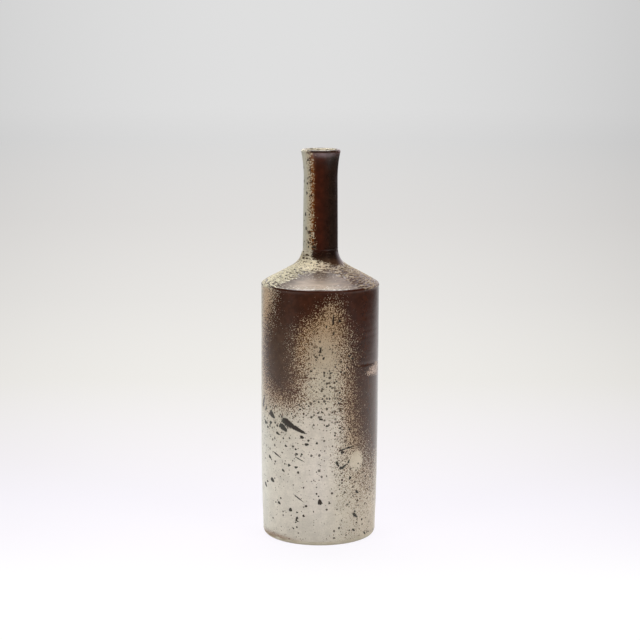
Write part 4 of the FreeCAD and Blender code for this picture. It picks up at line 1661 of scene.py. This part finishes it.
@dataclass
class ShoulderGlaze(GlazeCoat):
    """The coat on the corner and slope of the shoulder, under its crust of fallen ash."""

    name: str = "shoulder_coat"
    columns: int = 640
    heights: Relief = Relief(0.08, 0.05, 0.02, 0.5)
    flow_from: float = 400.0
    ring: bool = True
    cad_nodes: tuple[str, ...] = ("outer_glaze",)
    steps: dict[Stretch, float] = field(
        default_factory=lambda: {Stretch.ARRIS: 0.3, Stretch.CONE: 0.36, Stretch.ROOT: 0.36})
    crust_from: tuple[tuple[float, float], ...] = (
        (-180, 10), (-140, 16), (-110, 6), (-80, -2), (-58, -2), (-50, 1), (-44, 7), (-38, 14),
        (-30, 20), (-20, 24), (0, 28), (15, 26), (25, 23), (32, 16), (37, 9), (42, 4), (48, 0),
        (56, -2), (70, -2), (100, 4), (130, 9), (180, 10))
    crust_to: tuple[tuple[float, float], ...] = (
        (-180, 38), (-100, 42), (-60, 44), (-34, 42), (-25, 37.4), (-10, 36), (10, 34.6),
        (25, 33.4), (40, 31.6), (60, 30.4), (75, 32), (110, 33), (140, 36), (180, 38))

    def paint(self, paint: Paint) -> None:
        """Write the shoulder's own values.

        Args:
            paint: the coat's points.
        """
        azimuth, along = paint.azimuth, paint.along
        start, end = (np.interp(azimuth, *zip(*curve))
                      for curve in (self.crust_from, self.crust_to))
        gaps = blend_zones(self.gap_zones(), azimuth, along, ONCE_ROUND, (0.36,), 0.2)[:, 0]
        crust = smooth(-4.5, 3.5, along - start)
        neck_side = window(-36.0, -20.0, 130.0, 150.0, azimuth)
        neck_iron = neck_side * smooth(-2.6, 2.6, along - end)
        gaps = gaps * (1.0 - 0.8 * smooth(37.0, 44.0, along) * (1.0 - neck_side))
        paint.chart(self.lay)
        paint.room(0.8, first_fade=3.6)
        paint.flow(WALL_RADIUS, 0.34, 1.7, self.flow_from + along)
        paint.number("ash", crust * smooth(0.5, -1.5, along - end))
        front = window(-62.0, -40.0, 40.0, 58.0, azimuth)
        corner = along - np.interp(np.abs(azimuth), (0.0, 50.0), (2.8, 1.5))
        # Pale flecks at the front, thickest just above the corner line and sparse higher up: painted
        # glints.
        painted_glints = 0.1 * smooth(6.5, 3.5, corner) * smooth(0.0, 0.6, corner)
        painted_glints = front * (painted_glints + 0.06 * smooth(12.0, 20.0, along))
        bare = 0.995 - painted_glints
        # A thin pale line along the front at the foot of the slope: painted highlight.
        painted_highlight_line = front * smooth(-0.1, 0.3, corner) * smooth(1.0, 0.6, corner)
        bare = bare * (1.0 - painted_highlight_line) + 0.45 * painted_highlight_line
        share = bare * (1.0 - crust) + gaps * crust
        share = np.maximum(share * (1.0 - neck_iron), 0.99 * neck_iron)
        paint.number("iron", score(share))
        paint.number("satin", (1.0 - crust) * smooth(-0.3, 0.3, corner))
        paint.number("rust", 0.3 * crust * smooth(-30.0, 20.0, azimuth))
        paint.number("pepper", np.full(len(along), 0.1))
        # Low on the slope at the front the ash tone is lighter: it is the colour of the painted
        # glints and the painted highlight line.
        paint.colour("pale", blend_zones(tone_zones(
            (-65, 16, 26, 14, 190, 181, 154), (-30, 32, 30, 4, 232, 219, 190),
            (4, 32, 16, 3, 216, 198, 172), (-10, 6, 30, 8, 208, 200, 186),
            (25, 26, 20, 10, 168, 152, 133), (62, 10, 24, 14, 134, 120, 102),
            (-140, 45, 70, 4, 184, 176, 158)),
            azimuth, along, ONCE_ROUND, linear(172, 160, 138)))
        # Low on the slope at the front the iron is lighter, under the overhead softbox's sheen:
        # partly ash dusting, partly painted sheen. The darker notch above it at the front centre is
        # the neck's painted reflection.
        tones = blend_zones(tone_zones(
            (-6, 7, 22, 8, 162, 144, 126), (28, 6, 9, 10, 116, 97, 82),
            (0, 20, 16, 6, 84, 64, 48), (48, 6, 12, 9, 66, 44, 29), (75, 10, 16, 14, 84, 66, 50),
            (20, 27, 50, 6, 66, 44, 26), (-60, 20, 28, 20, 58, 40, 20),
            (10, 36.5, 24, 2.5, 62, 44, 31), (0, 40.5, 24, 3, 28, 10, 5),
            (0, 45, 24, 2.6, 46, 18, 10), (42, 40.5, 28, 3.4, 17, 8, 5),
            (42, 45, 28, 2.6, 26, 15, 9), (108, 43, 34, 6, 50, 29, 21),
            (130, 16, 40, 18, 84, 62, 48)), azimuth, along, ONCE_ROUND, linear(64, 40, 28))
        paint.colour("dark", laid_over(tones, linear(52, 24, 12), smooth(0.3, -0.3, corner)))

    @staticmethod
    def gap_zones() -> tuple[Zone, ...]:
        """How much of the ash crust is gaps between its flakes.

        Returns:
            A zone for each share.
        """
        return share_zones(
            (-72, 18, 20, 14, 0.12), (-56, 5, 12, 4, 0.7), (-40, 18, 10, 9, 0.4),
            (-40, 32, 36, 4, 0.05), (-4, 31.5, 16, 2.6, 0.06), (0, 26.5, 14, 3, 0.5),
            (20, 32, 10, 2, 0.2), (25, 20, 10, 8, 0.55), (45, 8, 12, 7, 0.86),
            (42, 16, 8, 5, 0.8), (60, 24, 14, 5, 0.45), (52, 31, 18, 2.6, 0.85),
            (72, 6, 14, 8, 0.8), (-41, 36.5, 12, 2, 0.45), (-50, 28, 5, 2, 0.35))


@dataclass
class NeckGlaze(GlazeCoat):
    """The coat on the neck, over the lip and into the mouth: ash on one side, iron on the other."""

    name: str = "neck_coat"
    heights: Relief = Relief(0.07, 0.04, 0.04)
    cad_nodes: tuple[str, ...] = ("outer_glaze", "liner_glaze")
    steps: dict[Stretch, float] = field(
        default_factory=lambda: {Stretch.NECK: 0.45, Stretch.FLARE: 0.45, Stretch.LIP: 0.22,
                                 Stretch.MOUTH: 0.6})
    radius: float = 13.2
    spot_width: float = 0.7
    spot_turn: float = 70.0

    def paint(self, paint: Paint) -> None:
        """Write the neck's own values.

        Args:
            paint: the coat's points.
        """
        azimuth, up, along = paint.azimuth, paint.height, paint.along
        paint.chart(self.lay)
        paint.room(0.8)
        paint.flow(self.radius, 0.74, 0.74, along)
        sizes = self.section.sizes
        rise = along - (sizes.top_height - (self.section.root[1] - sizes.body_height))
        edge = np.interp(up, (225.0, 240.0, 258.0, 300.0), (-26.5, -29.0, -34.0, -35.0))
        iron = share_of((azimuth - edge) / 8.5) * smooth(160.0, 140.0, azimuth)
        right_rim = window(48.0, 60.0, 112.0, 128.0, azimuth)
        crest = smooth(-1.0, -0.4, rise) * (1.0 - right_rim)
        # A dark line along the near lip's edge at the front: partly iron specks, partly painted
        # shade.
        near = window(-1.7, -1.3, 0.7, 1.1, rise)
        near = near * smooth(-46.0, -34.0, azimuth) * smooth(66.0, 54.0, azimuth)
        # A dark line inside the far lip at the back, seen across the mouth: painted shade.
        far = window(0.4, 0.7, 2.1, 2.4, rise)
        far = far * smooth(104.0, 116.0, np.abs(azimuth)) * (1.0 - right_rim)
        # Both lip lines, partly iron and partly painted shade, raise the iron share.
        line = np.maximum(near, 0.6 * far)
        share = np.maximum(iron, 0.01 + 0.09 * smooth(-46.0, -36.0, azimuth)
                           * smooth(150.0, 100.0, azimuth)) * (1.0 - crest)
        share = np.maximum(share, 0.93 * line)
        paint.number("iron", score(share))
        rusty = 0.55 * smooth(-46.0, -30.0, azimuth) * (azimuth < 90.0)
        paint.number("rust", rusty * (1.0 - crest))
        paint.number("pepper", 0.1 * (1.0 - crest))
        ground = blend_zones(tone_zones(
            (-70, 260, 24, 60, 172, 170, 156), (-42, 260, 12, 60, 172, 156, 128),
            (-120, 260, 40, 60, 182, 176, 158)), azimuth, up, ONCE_ROUND, linear(188, 178, 158))
        paint.colour("pale", laid_over(ground, linear(200, 190, 168), crest))
        # The iron's tones on the neck. The lighter violet-grey band just under the lip at the front
        # is painted sheen.
        tones = blend_zones(tone_zones(
            (-27, 262, 5, 60, 112, 66, 30), (-17, 262, 5, 60, 66, 28, 10),
            (-2, 262, 12, 60, 56, 23, 12), (22, 262, 12, 60, 42, 20, 12),
            (40, 262, 14, 60, 28, 20, 13), (62, 262, 14, 60, 34, 22, 17),
            (0, 223.5, 24, 3.4, 44, 17, 9), (42, 223.5, 28, 3.4, 24, 14, 9),
            (10, 297.3, 30, 1.9, 130, 112, 114), (70, 299, 22, 2, 84, 38, 30)),
            azimuth, up, ONCE_ROUND, linear(52, 30, 22))
        # The lip lines, partly iron and partly painted shade, take a dark brown.
        paint.colour("dark", laid_over(tones, linear(48, 28, 18), line))
        paint.marks(self.spots(), self.radius)

    def spots(self) -> tuple[Mark, ...]:
        """The iron spots on the ash side, from their turns and heights.

        Returns:
            A mark for each.
        """
        spots = (
            (-45, 292.5, 1.6), (-38, 285, 1.6), (-75, 276.5, 2.0), (-31, 276.5, 1.6),
            (-31, 265.8, 1.8), (-55, 268, 1.4), (-58, 252, 1.6), (-40, 251, 1.5),
            (-68, 246, 1.4), (-35, 235, 1.7),
            (-28, 229, 1.6), (-42, 226.5, 1.8), (-80, 227, 1.4), (-65, 230, 1.5), (-24, 240, 1.4),
            (-24, 226.8, 2.2), (-17, 226.6, 1.9), (-19, 231.5, 1.7), (-26, 234, 1.5),
            (-100, 262, 1.6), (-120, 244, 1.8), (-110, 284, 1.3), (-140, 270, 1.6))
        return tuple(Mark(math.radians(turn) * self.radius, up, size, size * self.spot_width,
                          self.spot_turn) for turn, up, size in spots)


@dataclass
class LinerGlaze(GlazeCoat):
    """A plain coat inside the vase."""

    columns: int = 96
    back_step: int = 3
    cad_nodes: tuple[str, ...] = ("liner_glaze",)
    slot: Slot = Slot.LINER_GLAZE

    def paint(self, paint: Paint) -> None:
        """Write the little that the liner needs.

        Args:
            paint: the coat's points.
        """
        paint.chart(self.lay)
        paint.room(3.0)
        paint.flow(WALL_RADIUS, 1.0, 1.0, paint.along)


@dataclass
class BareClay:
    """The carried-over solids: thrown clay and the slip between its sections."""

    clay_nodes: tuple[str, ...] = ("body_section", "shoulder_section", "neck_section")
    slip_nodes: tuple[str, ...] = ("shoulder_slip_joint", "neck_slip_joint")

    def dress(self) -> None:
        """Give the clay and the slip their materials."""
        for names, finish in ((self.clay_nodes, ClayFinish()), (self.slip_nodes, SlipFinish())):
            material = finish.material()
            for name in names:
                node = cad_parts[name]
                node.data.materials.clear()
                node.data.materials.append(material)
                log.info("%s: %s", name, finish.name)


@dataclass
class Studio:
    """The camera, the lamps, the floor and the backdrop."""

    camera_place: tuple[float, float, float] = (0.0, -1.343, 0.4056)
    camera_down: float = 10.03
    camera_roll: float = 0.28
    camera_lens: float = 99.3
    camera_sensor: float = 36.0
    camera_end: float = 50.0
    floor_radius: float = 7.0
    floor_sides: int = 96
    floor_start: float = 0.35
    floor_span: float = 5.0
    floor_fade: tuple[float, float] = (3.6, 6.2)
    floor_gap: float = 0.0001
    recess_opening: float = 0.0408
    box_size: tuple[float, float] = (1.05, 0.76)
    box_place: tuple[float, float, float] = (-0.05, 0.48, 1.42)
    box_power: float = 21.0
    side_turn: float = 50.0
    side_rise: float = 25.0
    side_far: float = 1.55
    side_size: tuple[float, float] = (0.7, 0.7)
    side_powers: tuple[float, float] = (16.2, 17.0)
    side_base: float = 0.15
    floor_shaded: float = 0.06
    aside_slope: float = 0.18
    aside_curve: float = 4.4
    # The floor's tones for the camera, from the vase to far back: painted shade, darker further back.
    floor_tones: tuple[tuple[float, tuple[int, int, int]], ...] = (
        (0.040, (255, 255, 255)), (0.0646, (252, 249, 254)), (0.0874, (248, 245, 251)),
        (0.114, (245, 242, 245)), (0.184, (237, 235, 231)), (0.292, (232, 230, 227)),
        (0.483, (227, 225, 223)), (0.906, SEEN_BACKDROP))
    fall_levels: tuple[tuple[float, float], ...] = (
        (0.036, 0.0), (0.0646, 0.25), (0.114, 0.45), (0.292, 0.7), (0.9, 1.0))

    def build(self) -> None:
        """Set the studio up."""
        self.set_camera()
        self.set_lamps()
        self.set_floor()
        self.set_world()
        bpy.context.scene.view_settings.view_transform = "Standard"

    def set_camera(self) -> None:
        """Place the camera at the photograph's angle."""
        camera = bpy.data.cameras.new("camera")
        camera.lens = self.camera_lens
        camera.sensor_width = self.camera_sensor
        camera.clip_end = self.camera_end
        holder = bpy.data.objects.new("camera", camera)
        bpy.context.scene.collection.objects.link(holder)
        holder.matrix_world = (
            Matrix.Translation(self.camera_place)
            @ Matrix.Rotation(math.radians(90.0 - self.camera_down), 4, "X")
            @ Matrix.Rotation(math.radians(self.camera_roll), 4, "Z"))
        bpy.context.scene.camera = holder

    def set_lamps(self) -> None:
        """Hang the overhead softbox and the two lamps at the front."""
        self.lamp("overhead_softbox", self.box_place, (0.0, 0.0, 0.0), self.box_size,
                  self.box_power)
        rise = math.radians(self.side_rise)
        for side, power in zip((-1.0, 1.0), self.side_powers):
            turn = math.radians(self.side_turn) * side
            place = (math.sin(turn) * self.side_far, -math.cos(turn) * self.side_far,
                     self.side_base + math.tan(rise) * self.side_far)
            lamp = self.lamp("front_lamp", place, (math.pi / 2 - rise, 0.0, turn), self.side_size,
                             power)
            lamp.visible_glossy = False

    @staticmethod
    def lamp(name: str, place: tuple[float, float, float], turn: tuple[float, float, float],
             size: tuple[float, float], power: float) -> bpy.types.Object:
        """Add a rectangular lamp.

        Args:
            name: its name.
            place: its centre.
            turn: its rotation in radians.
            size: its two sides in metres.
            power: its power in watts.

        Returns:
            The lamp.
        """
        lamp = bpy.data.lights.new(name, "AREA")
        lamp.shape = "RECTANGLE"
        lamp.size, lamp.size_y = size
        lamp.energy = power
        holder = bpy.data.objects.new(name, lamp)
        holder.location = place
        holder.rotation_euler = turn
        bpy.context.scene.collection.objects.link(holder)
        return holder

    def set_floor(self) -> None:
        """Lay the pale floor, which fades into the backdrop far out."""
        work = bmesh.new()
        bmesh.ops.create_circle(work, cap_ends=True, radius=self.floor_radius,
                                segments=self.floor_sides)
        bmesh.ops.translate(work, verts=work.verts, vec=(0.0, 0.0, -self.floor_gap))
        mesh = bpy.data.meshes.new("studio_floor")
        work.to_mesh(mesh)
        work.free()
        floor = bpy.data.objects.new("studio_floor", mesh)
        bpy.context.scene.collection.objects.link(floor)
        mesh.materials.append(self.floor_material())

    def floor_material(self) -> bpy.types.Material:
        """Build the floor's material.

        Returns:
            The material.
        """
        shade = Shade("studio floor")
        shade.tree.nodes.remove(shade.surface)
        place = shade.node("ShaderNodeTexCoord").outputs["Object"]
        right, ahead = shade.split(place)[:2]
        deep = shade.maths("DIVIDE", shade.plus(ahead, self.floor_start), self.floor_span)
        tone = self.tone_ramp(shade, deep, (
            (stop, linear(*colour)) for stop, colour in self.floor_tones))
        aside = shade.maths("DIVIDE", right,
                            shade.maths("SUBTRACT", ahead, self.camera_place[1]))
        strength = self.tone_ramp(shade, deep, (
            (stop, (level, level, level, 1.0)) for stop, level in self.fall_levels))
        fall = shade.times(self.fall_aside(shade, aside), strength)
        tone = shade.scaled(tone, shade.rest(fall))
        camera_look = shade.joined("ShaderNodeMixShader", self.floor_shaded,
                                   shade.joined("ShaderNodeEmission", tone),
                                   shade.joined("ShaderNodeBsdfDiffuse", tone))
        level = shade.times(shade.grade(ahead, -0.72, -0.42, 0.02, 0.8),
                            shade.grade(shade.maths("ABSOLUTE", right), 0.55, 1.05, 1.0, 0.04))
        grey = shade.joined("ShaderNodeCombineXYZ", level, level, level)
        look = shade.joined("ShaderNodeMixShader",
                            shade.node("ShaderNodeLightPath").outputs["Is Camera Ray"],
                            shade.joined("ShaderNodeBsdfDiffuse", grey), camera_look)
        from_middle = shade.vector("LENGTH", place)
        away = shade.grade(from_middle, *self.floor_fade)
        under_foot = shade.grade(from_middle, self.recess_opening - self.floor_gap,
                                 self.recess_opening, 1.0, 0.0)
        away = shade.maths("MAXIMUM", away, under_foot)
        below = shade.node("ShaderNodeNewGeometry").outputs["Backfacing"]
        away = shade.maths("MAXIMUM", away, below)
        faded = shade.joined("ShaderNodeMixShader", away, look,
                             shade.joined("ShaderNodeBsdfTransparent"))
        shade.feed(shade.ending.inputs["Surface"], faded)
        return shade.material

    def fall_aside(self, shade: Nodes, aside: bpy.types.NodeSocket) -> bpy.types.NodeSocket:
        """The share of light that the backdrop lacks, by the way aside over the way ahead."""
        square = shade.times(aside, aside, self.aside_curve)
        return shade.maths("MULTIPLY_ADD", aside, self.aside_slope, square, clamp=True)

    @staticmethod
    def tone_ramp(shade: Nodes, value: bpy.types.NodeSocket,
                  stops: Iterable[tuple[float, tuple[float, ...]]]) -> bpy.types.NodeSocket:
        """Grade a value through several tones.

        Args:
            shade: the tree to add to.
            value: the value.
            stops: each tone with its place.

        Returns:
            The tone.
        """
        ramp = shade.node("ShaderNodeValToRGB")
        for number, (place, tone) in enumerate(stops):
            stop = (ramp.color_ramp.elements[number] if number < 2
                    else ramp.color_ramp.elements.new(place))
            stop.position = place
            stop.color = tone
        shade.feed(ramp.inputs[0], value)
        return ramp.outputs[0]

    def set_world(self) -> None:
        """Set the backdrop that the camera sees and the room that the glaze reflects."""
        world = bpy.data.worlds.new("studio")
        world.use_nodes = True
        bpy.context.scene.world = world
        sky = Nodes(world.node_tree)
        sky.tree.nodes.clear()
        across, deep, high = sky.split(sky.node("ShaderNodeTexCoord").outputs["Generated"])
        fall = self.fall_aside(sky, sky.maths("DIVIDE", across, deep))
        backdrop = sky.scaled(linear(*SEEN_BACKDROP)[:3], sky.rest(fall))
        room = sky.grade(deep, 0.25, 0.9, 0.05, 1.4)
        room = sky.maths("MAXIMUM", room, sky.grade(high, -0.3, -0.05, 0.6, 0.0))
        left = sky.grade(across, -0.8, 0.8)
        tint = sky.mix(left, linear(251, 255, 250), linear(240, 232, 240))
        both = sky.joined("ShaderNodeMixShader",
                          sky.node("ShaderNodeLightPath").outputs["Is Camera Ray"],
                          sky.joined("ShaderNodeBackground", tint, room),
                          sky.joined("ShaderNodeBackground", backdrop))
        sky.feed(sky.node("ShaderNodeOutputWorld").inputs[0], both)


def main() -> None:
    """Dress the vase and set the studio up."""
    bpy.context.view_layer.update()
    section = VaseSection(VaseSizes())
    turner, relief = TurnedCoatTree(), ReliefTree()
    outer = IronAshGlaze().material()
    liner = LinerFinish().material()
    BareClay().dress()
    for kind in (BodyGlaze, ShoulderGlaze, NeckGlaze):
        kind(section, turner, relief, outer).build()
    LinerGlaze(section, turner, relief, liner, name="neck_liner", steps={
        Stretch.BORE: 3.0, Stretch.BORE_ROOT: 1.5, Stretch.CEILING: 3.0}).build()
    LinerGlaze(section, turner, relief, liner, name="body_liner", steps={
        Stretch.CORNER: 1.0, Stretch.INNER_WALL: 4.0, Stretch.HOLLOW: 4.0,
        Stretch.FLOOR_ROUND: 1.2, Stretch.FLOOR: 3.0}).build()
    Studio().build()


if __name__ == "__main__":
    main()
